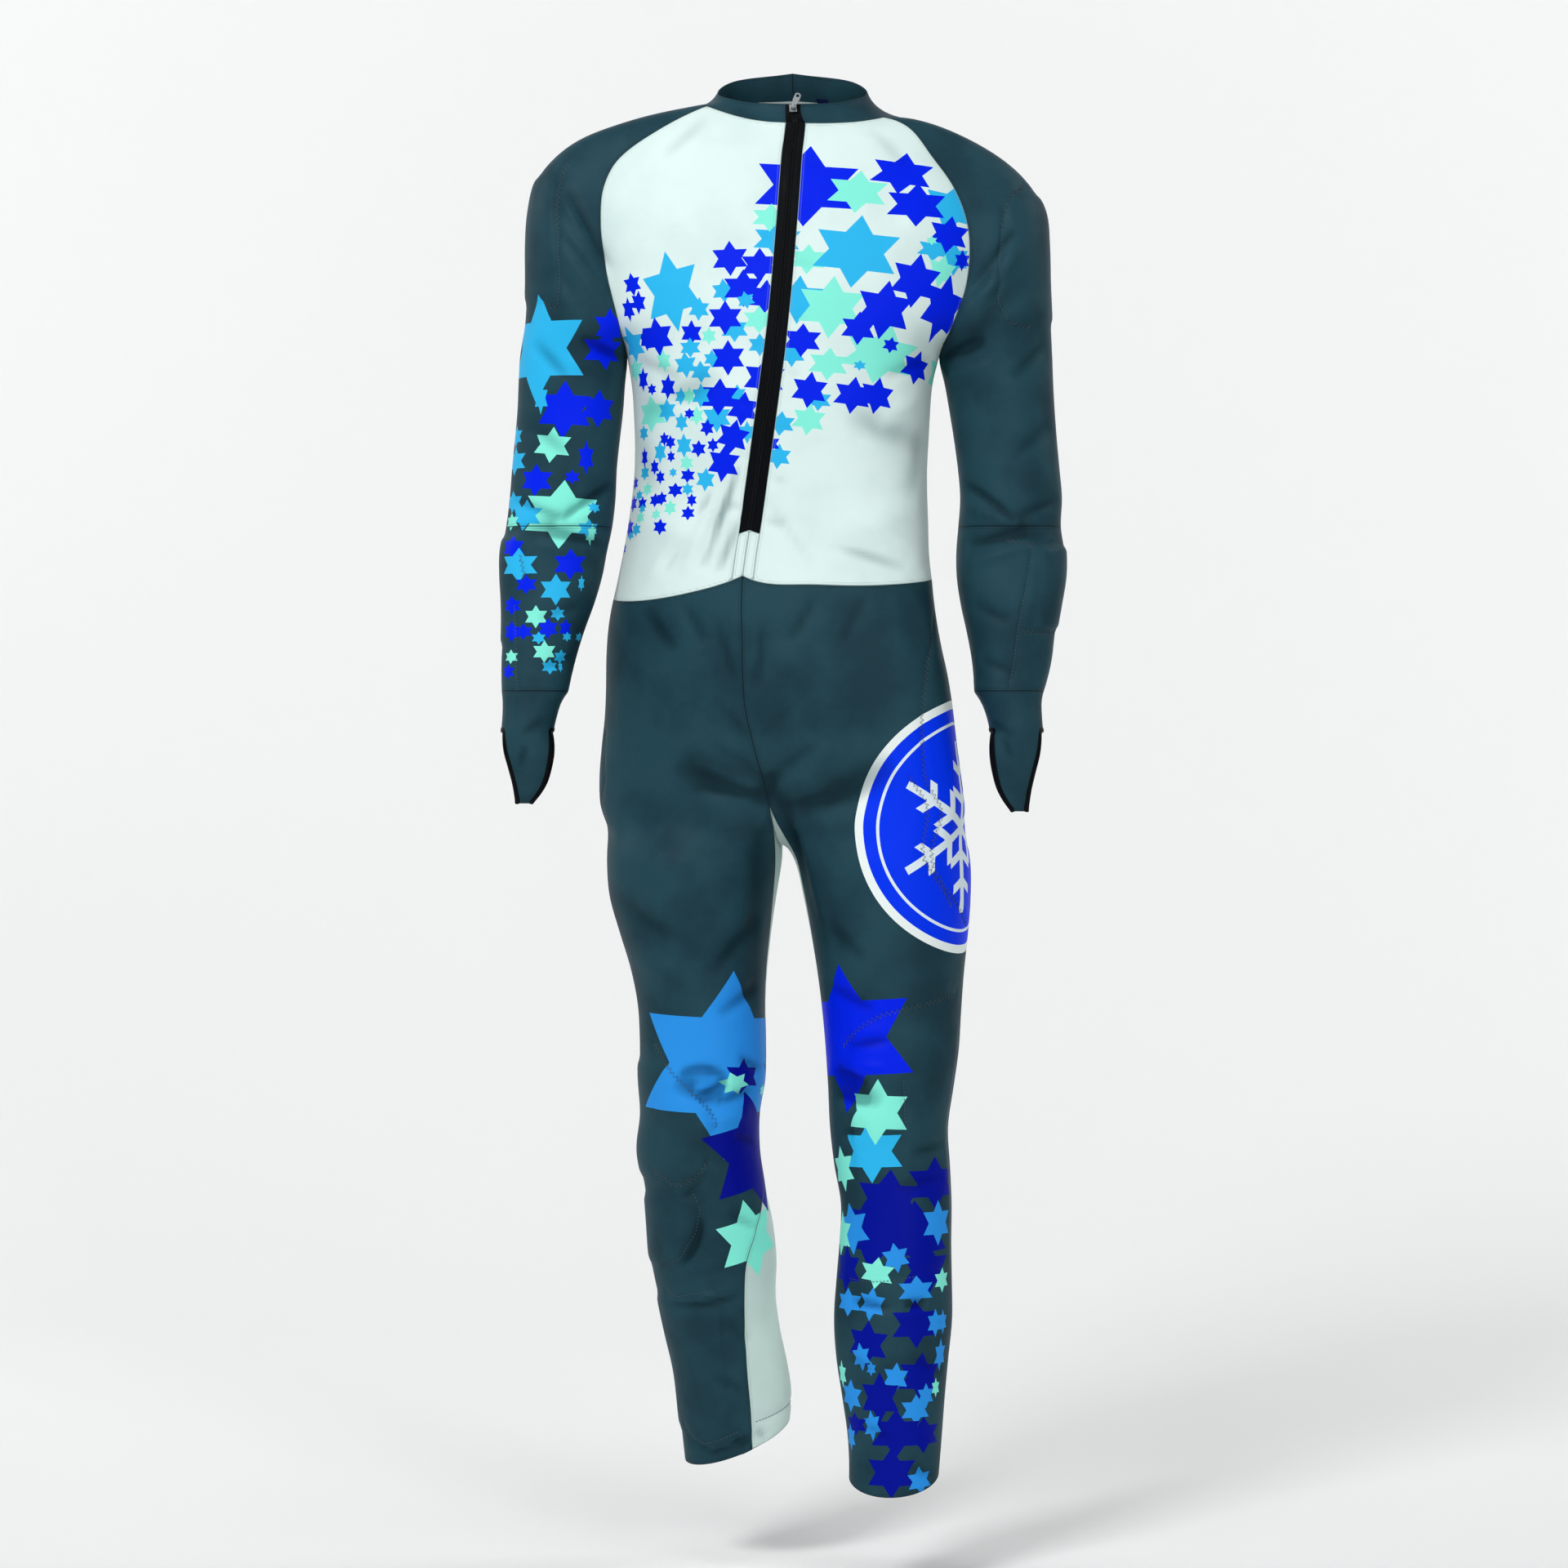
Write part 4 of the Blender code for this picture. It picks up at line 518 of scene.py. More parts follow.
def body_point(turn, height):
    """A point of the body's section at a height; turn 0 is the front, 90 the wearer's left."""
    a = np.radians(turn)
    middle, half, front, back, swing = (column(BODY, n, height) for n in range(1, 6))
    across = half * power(np.sin(a), 2 / SQUARE)
    ahead = power(np.cos(a), 2 / SQUARE)
    deep = np.where(ahead > 0, -front, -back) * ahead
    groove_front = column(GROOVE, 1, height)
    groove_back = column(GROOVE, 2, height)
    off_front = (turn - centre_turn(height)) / GROOVE_TURN
    off_back = (np.abs(turn - centre_turn(height)) - 180) / GROOVE_TURN
    deep = deep + groove_front * np.exp(-(off_front**2)) - groove_back * np.exp(-(off_back**2))
    return np.stack([middle + across, deep - swing * across, height + 0 * a], axis=-1)


def turn_at(across, height):
    """The turn of the point of the body's front at a place across."""
    share = (across - column(BODY, 1, height)) / column(BODY, 2, height)
    return np.degrees(np.arcsin(power(share, SQUARE / 2)))


def centre_turn(height):
    return turn_at(column(CENTRE, 1, height), height)


def zip_edge_turn(height, side):
    """The turn of the zip's edge on one side."""
    return turn_at(column(CENTRE, 1, height) + side * ZIP_HALF, height)


def neck_point(turn, side):
    """A point of the neck loop; side is -1 on the right and 1 on the left."""
    a = np.radians(turn)
    height = column(NECK, 1 if side < 0 else 2, turn)
    deep = -np.where(np.cos(a) > 0, NECK_FRONT, NECK_BACK) * np.cos(a)
    across = NECK_MIDDLE + side * NECK_HALF_WIDTH * np.sin(a)
    return np.stack([across, deep, height + 0 * a], axis=-1)


def collar_point(turn, side):
    """A point of the collar's top edge, as neck_point."""
    a = np.radians(turn)
    deep = -np.where(np.cos(a) > 0, COLLAR_TOP_FRONT, COLLAR_TOP_BACK) * np.cos(a)
    across = COLLAR_TOP_MIDDLE + side * COLLAR_TOP_HALF_WIDTH * np.sin(a)
    return np.stack([across, deep, column(COLLAR_TOP, 1, turn) + 0 * a], axis=-1)


def waist_height(columns, side):
    return column(WAIST, 1 if side < 0 else 2, columns)


def front_turns(height, edge, side):
    """Turns of the front columns at a height, the last at edge."""
    centre = centre_turn(height)
    first = zip_edge_turn(height, side)
    return np.array([centre] + [first + (edge - first) * k / 5 for k in range(6)])


def side_turn(height, side):
    """The side seam goes round with the hips."""
    share = np.clip((UNDERARM - height) / 230.0, 0.0, 1.0)
    return side * 90.0 + (-8.0 if side < 0 else -3.0) * share


def half_turns(heights, side):
    """Turn of each column of one half, from the centre front to the centre back."""
    return np.array([turns_at(height, side)[c] for c, height in enumerate(heights)])


def turns_at(height, side):
    """Turns of all the columns of one half at one height."""
    side_seam = side_turn(height, side)
    front = front_turns(height, side_seam, side)
    outer = centre_turn(height) * 0.5 + side * 138.0
    back = centre_turn(height) + side * 180.0
    keys = (6, OUTER_SEAM, HALF_COLUMNS)
    rest = np.interp(np.arange(7, 14), keys, (side_seam, outer, back))
    return np.concatenate([front, rest])


def torso_net(side):
    """The front and back nets of one half of the torso, from the waist seam to the neck."""
    name = 1 if side < 0 else 2
    front = np.zeros((BODY_ROWS + YOKE_ROWS + 1, FRONT_COLUMNS + 1, 3))
    back = np.zeros((BODY_ROWS + YOKE_ROWS + 1, HALF_COLUMNS - FRONT_COLUMNS + 1, 3))
    columns = np.arange(HALF_COLUMNS + 1)
    waist = waist_height(columns, side)
    for r in range(BODY_ROWS + 1):
        height = waist + (UNDERARM - waist) * r / BODY_ROWS
        half = body_point(half_turns(height, side), height)
        front[r], back[r] = half[: FRONT_COLUMNS + 1], half[FRONT_COLUMNS:]
    for k in range(1, YOKE_ROWS):
        height = RAGLAN[k][0]
        edge = turn_at(RAGLAN[k][name], height)
        turns = front_turns(height, edge, side)
        row = body_point(turns, height + 0 * turns)
        back_edge = side * 180.0 - turn_at(RAGLAN[k][name + 2], height)
        centre = centre_turn(height) + side * 180.0
        turns = np.linspace(back_edge, centre, HALF_COLUMNS - FRONT_COLUMNS + 1)
        back_row = body_point(turns, height + 0 * turns)
        if k == YOKE_ROWS - 1:
            share = np.linspace(0, 1, FRONT_COLUMNS + 1) ** 1.5
            row[:, 2] = LAST_ROW["front"][0] * (1 - share) + LAST_ROW["front"][1] * share
            share = np.linspace(0, 1, HALF_COLUMNS - FRONT_COLUMNS + 1)
            back_row[:, 2] = LAST_ROW["back"][1] * (1 - share) + LAST_ROW["back"][0] * share
        front[BODY_ROWS + k], back[BODY_ROWS + k] = row, back_row
    front[-1] = neck_point(neck_turns("front"), side)
    back[-1] = neck_point(neck_turns("back"), side)
    return front, back


def neck_turns(part):
    """Turns of the neck loop's points along the front, the sleeve or the back of one half."""
    if part == "sleeve":
        return np.linspace(FRONT_RAGLAN_TURN, BACK_RAGLAN_TURN, ARM_COLUMNS + 1)
    if part == "back":
        return np.linspace(BACK_RAGLAN_TURN, 180.0, HALF_COLUMNS - FRONT_COLUMNS + 1)
    beside_zip = math.degrees(ZIP_HALF / NECK_HALF_WIDTH)
    return np.concatenate([[0.0], np.linspace(beside_zip, FRONT_RAGLAN_TURN, 6)])


def ring(table, row_height, turns, side):
    """A ring of a tube's sections at a height; turn 0 is the front, 90 is away from the body."""
    a = np.radians(turns)
    middle, deep, half, front, back = (column(table, n, row_height) for n in range(1, 6))
    depth = np.where(np.cos(a) > 0, front, back)
    across = middle + side * half * np.sin(a)
    return np.stack([across, deep - depth * np.cos(a), row_height + 0 * a], axis=-1)


def bezier(a, b, c, d, t):
    t = t[:, None]
    return a * (1 - t) ** 3 + 3 * b * t * (1 - t) ** 2 + 3 * c * t * t * (1 - t) + d * t**3


def sleeve_net(key, side, front, back):
    """The net of a raglan sleeve: from the neck down over the shoulder to the cuff seam."""
    rows = []
    half = np.linspace(0, 1, ARM_COLUMNS // 2 + 1)
    for k in range(YOKE_ROWS - 1, 0, -1):
        start, end = front[BODY_ROWS + k, -1], back[BODY_ROWS + k, 0]
        across, ahead, up, reach, top_reach = CAP[k]
        top = np.array([SHOULDER[key][k][0], SHOULDER_DEPTH, SHOULDER[key][k][1]])
        leave = np.array([-side * across, -ahead, up])
        leave_back = leave * (1, -1, 1)
        to_front = np.array([0.0, -top_reach, 0.0])
        first = bezier(start, start + leave * reach, top + to_front, top, half)
        second = bezier(top, top - to_front, end + leave_back * reach, end, half)
        rows.append(np.concatenate([first, second[1:]]))
    rows.append(None)
    turns = np.linspace(-90.0, 270.0, ARM_COLUMNS + 1)
    table = SLEEVE[key]
    heights = [table[0][0], table[1][0], *ABOVE_ELBOW, table[ELBOW_SECTION][0]]
    heights += [*BELOW_ELBOW, table[-1][0]]
    tube = [ring(table, h, turns, side) for h in heights]
    tube[0][0] = tube[0][-1] = front[BODY_ROWS, -1]
    rows[-1] = tube[0]
    neck = neck_point(neck_turns("sleeve"), side)
    return np.array([neck] + rows + tube[1:])


def leg_net(key, side):
    """The net of one trouser half: half rings to the crotch, then whole rings to the hem."""
    columns = np.arange(HALF_COLUMNS + 1)
    waist = waist_height(columns, side)
    inner = LEG_COLUMNS - HALF_COLUMNS
    rows = []
    for r in range(HIP_ROWS + 1):
        height = waist + (CROTCH - waist) * r / HIP_ROWS
        half = body_point(half_turns(height, side), height)
        across = np.linspace(0, 1, inner + 1)[1:, None]
        rows.append(np.concatenate([half, half[-1] * (1 - across) + half[0] * across]))
    share = np.linspace(0, 1, inner + 1)
    rows[-1][HALF_COLUMNS:, 2] -= column(CROTCH_DROP, 1, share)
    table = LEG[key]
    top, bottom = table[0][0], table[-1][0]
    for h in np.linspace(top, bottom, LEG_RINGS):
        start = -column(table, 6, h)
        back = column(INNER_BACK, 1, h)
        keys = (0, OUTER_SEAM, HALF_COLUMNS, LEG_COLUMNS)
        turns = np.interp(np.arange(LEG_COLUMNS + 1), keys, (start, OUTER_TURN, back, start + 360))
        row = ring(table, h, turns, side)
        low = max(0.0, 1.0 - (h - bottom) / HEM_REACH)
        rise, rear = HEM_SLOPE[key]
        middle, deep = column(table, 1, h), column(table, 2, h)
        slant = rise * (row[:, 0] - middle) + rear * (row[:, 1] - deep)
        row[:, 2] += low**2 * slant / HEM_SPAN
        rows.append(row)
    return np.array(rows)


def collar_net(side):
    """One half of the collar from the centre front to the centre back, neck to top edge."""
    turns = [neck_turns("front"), neck_turns("sleeve")[1:], neck_turns("back")[1:]]
    turns = np.concatenate(turns)
    low, high = neck_point(turns, side), collar_point(turns, side)
    middle = (low + high) / 2
    middle[:, :2] = middle[:, :2] * 0.5 + high[:, :2] * 0.5
    return np.array([low, middle, high])


def cuff_net(key, side):
    turns = np.linspace(-90.0, 270.0, ARM_COLUMNS + 1)
    return np.array([ring(CUFF[key], row[0], turns, side) for row in CUFF[key]])


def tongue_net(key, side, tube):
    """The hand loop: from the tube's front edge, down to the tip and up to its back edge."""
    low = CUFF[key][-1]
    rows = [tube[-1][1:6]]
    places = [(row, -1) for row in TONGUE] + [(row, 1) for row in TONGUE[-2::-1]]
    for (share, shift, half, deep), way in places:
        middle = low[1] + shift * TONGUE_SHIFT[key]
        spread = np.sin(np.radians(np.linspace(-TONGUE_TURN, TONGUE_TURN, TONGUE_POINTS)))
        across = middle + side * half * spread / TONGUE_SINE
        bow = 1 - TONGUE_BOW * np.linspace(-1, 1, TONGUE_POINTS) ** 2
        height = low[0] - share * TONGUE_DROP[key]
        row = np.stack([across, low[2] + way * deep * bow, height + 0 * across], axis=-1)
        rows.append(row)
    rows.append(tube[-1][[11, 10, 9, 8, 7]])
    return np.array(rows)


FINE = 8  # fine cells along each cell of a net
CLOTH = 1.3  # thickness of the cloth
EASING = 3  # rounds of easing that take the small kinks out between nets
FAR = 30.0  # the largest distance to a seam or to stitching that is told apart
RIM_GAP = 6.0  # the distance to a seam that the cut rim of a cloth holds
OUTSIDE = 9.0  # a place that lies outside every star
LINE_POINTS = 240  # points of a line drawn on a net, and rounds that take its corners off
LINE_EASING = 60
SHARP_TURN = 50  # edges of the cloth that turn by more degrees stay sharp


def refine(points, closed=False):
    """A denser row of points: each span is a cubic Hermite curve between its two points.
    The slope at a point comes from the points beside it, over the distances to them."""
    step = np.linalg.norm(np.diff(points, axis=0), axis=-1)
    step = np.maximum(step.reshape(len(step), -1).mean(axis=1), 0.1)
    keys = np.concatenate([[0.0], np.cumsum(step)])
    around = points
    if closed:
        around = np.concatenate([points[-2:-1], points, points[1:2]])
        keys = np.concatenate([[-step[-1]], keys, [keys[-1] + step[0]]])
    slopes = np.gradient(around, keys, axis=0, edge_order=2)
    if closed:
        slopes, keys = slopes[1:-1], keys[1:-1]
    shape = (-1, 1) + (1,) * (points.ndim - 1)
    span = np.diff(keys).reshape(shape)
    t = (np.arange(FINE) / FINE).reshape((1, -1) + (1,) * (points.ndim - 1))
    rise = t * t * (3 - 2 * t)
    curve = points[:-1, None] * (1 - rise) + points[1:, None] * rise
    curve = curve + slopes[:-1, None] * span * (t - 2 * t * t + t**3)
    curve = curve + slopes[1:, None] * span * (t**3 - t * t)
    return np.concatenate([curve.reshape((-1,) + points.shape[1:]), points[-1:]])


def across(net, closed=False):
    """A net made denser along its rows."""
    return refine(net.swapaxes(0, 1), closed).swapaxes(0, 1)


def fine_nets():
    """The nets of the whole suit with FINE times as many cells, equal along shared seams."""
    made = {}
    for key, side in (("R", -1), ("L", 1)):
        front, back = torso_net(side)
        sleeve = sleeve_net(key, side, front, back)
        leg = leg_net(key, side)
        low = BODY_ROWS + 1
        split = FRONT_COLUMNS * FINE
        joined = across(np.concatenate([front[:low], back[:low, 1:]], axis=1))
        torso = refine(np.concatenate([joined[:, : split + 1], across(front[low:])]))
        rear = refine(np.concatenate([joined[:, split:], across(back[low:])]))
        rear[: BODY_ROWS * FINE + 1, 0] = torso[: BODY_ROWS * FINE + 1, -1]

        arm = np.concatenate([across(sleeve[:YOKE_ROWS]), across(sleeve[YOKE_ROWS:], True)])
        arm = refine(arm)
        cap = YOKE_ROWS * FINE
        arm[: cap + 1, 0] = torso[BODY_ROWS * FINE :, -1][::-1]
        arm[: cap + 1, -1] = rear[BODY_ROWS * FINE :, 0][::-1]
        arm[cap:, -1] = arm[cap:, 0]

        middle = HALF_COLUMNS * FINE
        half = across(leg[: HIP_ROWS + 1, : HALF_COLUMNS + 1])
        inside = across(leg[HIP_ROWS : HIP_ROWS + 1, HALF_COLUMNS:])
        rings = across(leg[HIP_ROWS + 1 :], True)
        outer = refine(np.concatenate([half, rings[:, : middle + 1]]))
        inner = refine(np.concatenate([inside, rings[:, middle:]]))
        crotch = HIP_ROWS * FINE
        trouser = np.repeat(outer[:, -1:], LEG_COLUMNS * FINE + 1, axis=1)
        trouser[:, : middle + 1] = outer
        trouser[crotch:, middle + 1 :] = inner[:, 1:]
        trouser[crotch:, -1] = trouser[crotch:, 0]
        trouser[0, : middle + 1] = np.concatenate([torso[0], rear[0, 1:]])

        collar = refine(across(collar_net(side)))
        collar[0] = np.concatenate([torso[-1], arm[0, 1:], rear[-1, 1:]])

        cuff = cuff_net(key, side)
        tongue = refine(across(tongue_net(key, side, cuff)))
        tube = refine(across(cuff, True))
        tube[0] = arm[-1]
        tube[:, -1] = tube[:, 0]
        tongue[0] = tube[-1, FINE : 5 * FINE + 1]
        tongue[-1] = tube[-1, 7 * FINE : 11 * FINE + 1][::-1]
        parts = dict(front=torso, back=rear, sleeve=arm, leg=trouser, collar=collar)
        parts.update(cuff=tube, tongue=tongue)
        made.update({f"{title}_{key}": net for title, net in parts.items()})
    return made


def part_of(index, rows, columns):
    """Some coarse rows and columns of a net, or all where None is given."""
    first, last = [int(FINE * v) for v in rows] if rows else (0, len(index) - 1)
    left, right = [int(FINE * v) for v in columns] if columns else (0, index.shape[1] - 1)
    return index[first : last + 1, left : right + 1]


def grid_quads(grid, flip=False):
    """The cells of a grid of point numbers, as corner numbers."""
    quads = np.stack([grid[:-1, :-1], grid[:-1, 1:], grid[1:, 1:], grid[1:, :-1]], axis=-1)
    quads = quads.reshape(-1, 4)
    return quads[:, ::-1] if flip else quads


def unit(vectors):
    """Vectors made of length 1."""
    return vectors / np.maximum(np.linalg.norm(vectors, axis=1), 1e-9)[:, None]


def distances(points):
    """How far along a line of points each of them lies."""
    step = np.linalg.norm(np.diff(points, axis=0), axis=1)
    return np.concatenate([[0.0], np.cumsum(step)])


def resampled(values, run, at):
    """Rows of values that lie at run along a line, read at other places along it."""
    return np.stack([np.interp(at, run, value) for value in values.T], axis=-1)


def share_inside(index, rows, columns, edge, aspect=1.0):
    """1 inside some coarse rows and columns of a net, falling to 0 over edge at their border;
    aspect is the length of a column's step beside a row's."""
    row = np.arange(index.shape[0])[:, None] / FINE
    column = np.arange(index.shape[1])[None, :] / FINE
    inside = np.minimum(row - rows[0], rows[1] - row)
    beside = np.minimum(column - columns[0], columns[1] - column)
    return np.clip(np.minimum(inside, aspect * beside) / edge, 0, 1)


def face_normals(places, quads):
    """The cross product of each cell's two diagonals."""
    corner = places[quads]
    return np.cross(corner[:, 2] - corner[:, 0], corner[:, 3] - corner[:, 1])


def point_normals(places, quads):
    """At each point, the sum of the normals of the cells round it, made of length 1."""
    total = np.zeros_like(places)
    flat = face_normals(places, quads)
    for corner in range(4):
        np.add.at(total, quads[:, corner], flat)
    return unit(total)


def edges_of(quads):
    """Each edge of the cells once, as it runs in its first cell, and how many cells share it."""
    ends = np.stack([quads, np.roll(quads, -1, axis=1)], axis=-1).reshape(-1, 2)
    found = np.unique(np.sort(ends, axis=1), axis=0, return_index=True, return_counts=True)
    return ends[found[1]], found[2]


def eased(places, quads, rounds):
    """Each point moves halfway to the mean of its neighbours, edge points apart, in rounds."""
    ends, shared = edges_of(quads)
    fixed = np.unique(ends[shared == 1])
    for _ in range(rounds):
        total = np.zeros_like(places)
        count = np.zeros(len(places))
        for a, b in ((0, 1), (1, 0)):
            np.add.at(total, ends[:, a], places[ends[:, b]])
            np.add.at(count, ends[:, a], 1)
        moved = total / np.maximum(count, 1)[:, None]
        moved[count == 0] = places[count == 0]
        moved[fixed] = places[fixed]
        places = (places + moved) / 2
    return places


def folded(places, normals, folds, facing):
    """Soft ridges and troughs: each fold adds height * exp(-(away / half)^2) along the normals.
    away is the distance from a line that bows by a given amount between the fold's two ends,
    and the height fades out at both ends. facing is -1 for the front and 1 for the back."""
    amount = np.zeros(len(places))
    toward = np.clip(facing * normals[:, 1] * 2, 0, 1)
    for x0, z0, x1, z1, half, height, *bow in folds:
        run = np.array((x1 - x0, z1 - z0))
        length = np.linalg.norm(run)
        off = places[:, [0, 2]] - (x0, z0)
        along = off @ run / length**2
        side = (off[:, 0] * run[1] - off[:, 1] * run[0]) / length
        held = np.clip(along, 0, 1)
        side = side - (bow[0] if bow else 0.0) * 4 * held * (1 - held)
        away = np.hypot(side, (along - held) * length)
        fade = np.sin(np.pi * held) ** 0.5
        amount += height * np.exp(-((away / half) ** 2)) * fade * toward
    return amount


class Cloth:
    """The welded cloth of the whole suit, and each net's points and normals in it."""

    def __init__(self):
        nets = fine_nets()
        points = np.concatenate([net.reshape(-1, 3) for net in nets.values()])
        _, first, number = np.unique(
            np.round(points, 3), axis=0, return_index=True, return_inverse=True
        )
        places, number = points[first], number.ravel()
        self.index = {}
        start = 0
        for title, net in nets.items():
            count = net.shape[0] * net.shape[1]
            self.index[title] = number[start : start + count].reshape(net.shape[:2])
            start += count
        self.panels = {name: self.cut(pieces) for name, pieces in PANELS.items()}
        self.quads = np.concatenate([quads for quads, _ in self.panels.values()])
        places = eased(places, self.quads, EASING)
        normals = point_normals(places, self.quads)
        self.flat = self.places = places
        self.normals = normals
        amount = folded(places, normals, FOLDS + FRONT_FOLDS, -1)
        amount += folded(places, normals, BACK_FOLDS, 1)
        # The folds' height alone, which the cloth's colour reads for painted shade in their
        # troughs
        self.relief = amount.copy()
        amount += self.raised()
        self.pressed = self.quilting()
        amount -= QUILT_DEPTH * np.exp(-((self.pressed / QUILT_HALF) ** 2))
        self.places = places + normals * amount[:, None]
        self.normals = point_normals(self.places, self.quads)
        self.prints = {title: self.print_plane(title) for title in self.index}

    def raised(self):
        """Height over the pads: full inside each pad's rows and columns, with soft edges."""
        lift = np.zeros(len(self.places))
        for title, low, high, first, last, height in RAISED:
            index = self.index[title]
            inside = share_inside(index, (low, high), (first, last), PAD_EDGE, PAD_ASPECT)
            value = height * inside * inside * (3 - 2 * inside)
            np.maximum.at(lift, index.ravel(), value.ravel())
        return lift

    def path(self, title, keys, step):
        """Places and normals along a line on a net, given by (row, column) keys with their
        corners rounded off, at equal steps of about the given length."""
        keys = np.array(keys, float)
        along = distances(keys)
        line = resampled(keys, along, np.linspace(0, along[-1], LINE_POINTS))
        for _ in range(LINE_EASING):
            line[1:-1] = (line[:-2] + 2 * line[1:-1] + line[2:]) / 4
        places, normals = self.at(title, line[:, 0], line[:, 1])
        run = distances(places)
        at = np.linspace(0, run[-1], max(3, int(run[-1] / step) + 1))
        return resampled(places, run, at), resampled(normals, run, at)

    def quilting(self):
        """Distance from each point to the nearest line of pad stitching, up to FAR."""
        nearest = np.full(len(self.places), FAR)
        for title, _, keys in QUILT_LINES:
            line, _ = self.path(title, keys, QUILT_STEP)
            low, high = line.min(axis=0) - QUILT_REACH, line.max(axis=0) + QUILT_REACH
            near = ((self.places > low) & (self.places < high)).all(axis=1)
            near = np.flatnonzero(near)
            gap = np.linalg.norm(self.places[near][:, None] - line[None], axis=2).min(axis=1)
            nearest[near] = np.minimum(nearest[near], gap)
        return nearest

    def cut(self, pieces):
        """The cells of a panel, and for each corner its net's number and place in the net."""
        cells, marks = [], []
        for title, rows, columns in pieces:
            inside_out = title.startswith(("front", "back", "collar"))
            flip = inside_out != title.endswith("L")
            index = self.index[title]
            order = np.arange(index.size).reshape(index.shape)
            number = np.full(index.shape, list(self.index).index(title))
            kinds = [grid_quads(part_of(a, rows, columns), flip) for a in (index, order, number)]
            cells.append(kinds[0])
            marks.append(np.stack(kinds[1:], axis=-1))
        cells, marks = np.concatenate(cells), np.concatenate(marks)
        whole = (np.diff(np.sort(cells, axis=1), axis=1) > 0).all(axis=1)
        return cells[whole], marks[whole]

    def plane(self, marks):
        """Places on the unrolled cloth of cells' corners. On a leg's inner back the plane is
        that of the front, carried on past the inner seam."""
        place = np.zeros(marks.shape[:2] + (2,))
        for number, title in enumerate(self.index):
            chosen = marks[..., 1] == number
            plane = self.prints[title]
            place[chosen] = plane.reshape(-1, 2)[marks[..., 0][chosen]]
            if title.startswith("leg"):
                row, column = np.divmod(marks[..., 0], plane.shape[1])
                inner = chosen & (column.min(axis=1, keepdims=True) >= INNER_PRINT * FINE)
                girth = plane[:, -1, 0] - plane[:, 0, 0]
                place[..., 0] -= np.where(inner, girth[np.where(inner, row, 0)], 0.0)
        return place

    def print_plane(self, title):
        """Place on the unrolled cloth: across is the distance along the row from the net's
        middle column, added to that column's own place across, and up is the height."""
        net = self.flat[self.index[title]]
        middle = FINE * PRINT_COLUMN[title.split("_")[0]]
        step = np.linalg.norm(np.diff(net, axis=1), axis=-1)
        run = np.concatenate([np.zeros((len(net), 1)), np.cumsum(step, axis=1)], axis=1)
        way = -1.0 if title.endswith("R") else 1.0
        across = net[:, middle, 0][:, None] + way * (run - run[:, middle][:, None])
        return np.stack([across, net[..., 2]], axis=-1)

    def at(self, title, rows, columns):
        """Places and normals at fractional coarse rows and columns of a net, in between by
        the two-way straight blend of the four corners round each."""
        index = self.index[title]
        r = np.clip(np.asarray(rows, float) * FINE, 0, index.shape[0] - 1.001)
        c = np.clip(np.asarray(columns, float) * FINE, 0, index.shape[1] - 1.001)
        i, j = r.astype(int), c.astype(int)
        a, b = (r - i)[:, None], (c - j)[:, None]
        found = []
        for values in (self.places, self.normals):
            low = values[index[i, j]] * (1 - b) + values[index[i, j + 1]] * b
            high = values[index[i + 1, j]] * (1 - b) + values[index[i + 1, j + 1]] * b
            found.append(low * (1 - a) + high * a)
        return found


def placed(name, data):
    """An object with the given data, put in the scene."""
    thing = bpy.data.objects.new(name, data)
    bpy.context.scene.collection.objects.link(thing)
    return thing


def mesh_piece(name, places, quads, values=(), uv=None):
    """A mesh object from points in millimetres and cells, with values at the cells' corners."""
    mesh = bpy.data.meshes.new(name)
    mesh.vertices.add(len(places))
    mesh.vertices.foreach_set("co", (np.asarray(places) * MM).ravel())
    mesh.loops.add(quads.size)
    mesh.loops.foreach_set("vertex_index", quads.ravel().astype(np.int32))
    mesh.polygons.add(len(quads))
    starts = np.arange(len(quads), dtype=np.int32) * quads.shape[1]
    mesh.polygons.foreach_set("loop_start", starts)
    mesh.update(calc_edges=True)
    if uv is not None:
        layer = mesh.uv_layers.new(name="print")
        layer.data.foreach_set("uv", np.asarray(uv, np.float32).ravel())
    for title, value in values:
        layer = mesh.attributes.new(title, "FLOAT_VECTOR", "CORNER")
        layer.data.foreach_set("vector", np.asarray(value, np.float32).ravel())
    mesh.shade_smooth()
    return placed(name, mesh)


def star_layers(corners, stars):
    """For each cell corner and layer: place in the star that covers the cell, and its colour.
    The place is (corner - middle) turned by the star's turn, over its reach, the width also
    over the star's stretch. A cell that no star of a layer covers holds places far outside."""
    cells = len(corners)
    layers = np.full((STAR_LAYERS, cells, 4, 3), OUTSIDE)
    used = np.zeros(cells, int)
    middle = corners.mean(axis=1)
    spread = np.abs(corners - middle[:, None]).max(axis=(1, 2))
    for across, height, reach, turn, wide, colour in stars:
        away = (middle - (across, height)) / (wide, 1.0)
        near = np.hypot(away[:, 0], away[:, 1]) < reach + spread * 1.5
        near = np.flatnonzero(near & (used < STAR_LAYERS))
        off = (corners[near] - (across, height)) / (wide, 1.0) / reach
        a = math.radians(turn)
        x = off[..., 0] * math.cos(a) + off[..., 1] * math.sin(a)
        y = off[..., 1] * math.cos(a) - off[..., 0] * math.sin(a)
        shade = np.full_like(x, float(colour))
        layers[used[near], near] = np.stack([x, y, shade], axis=-1)
        used[near] += 1
    return layers


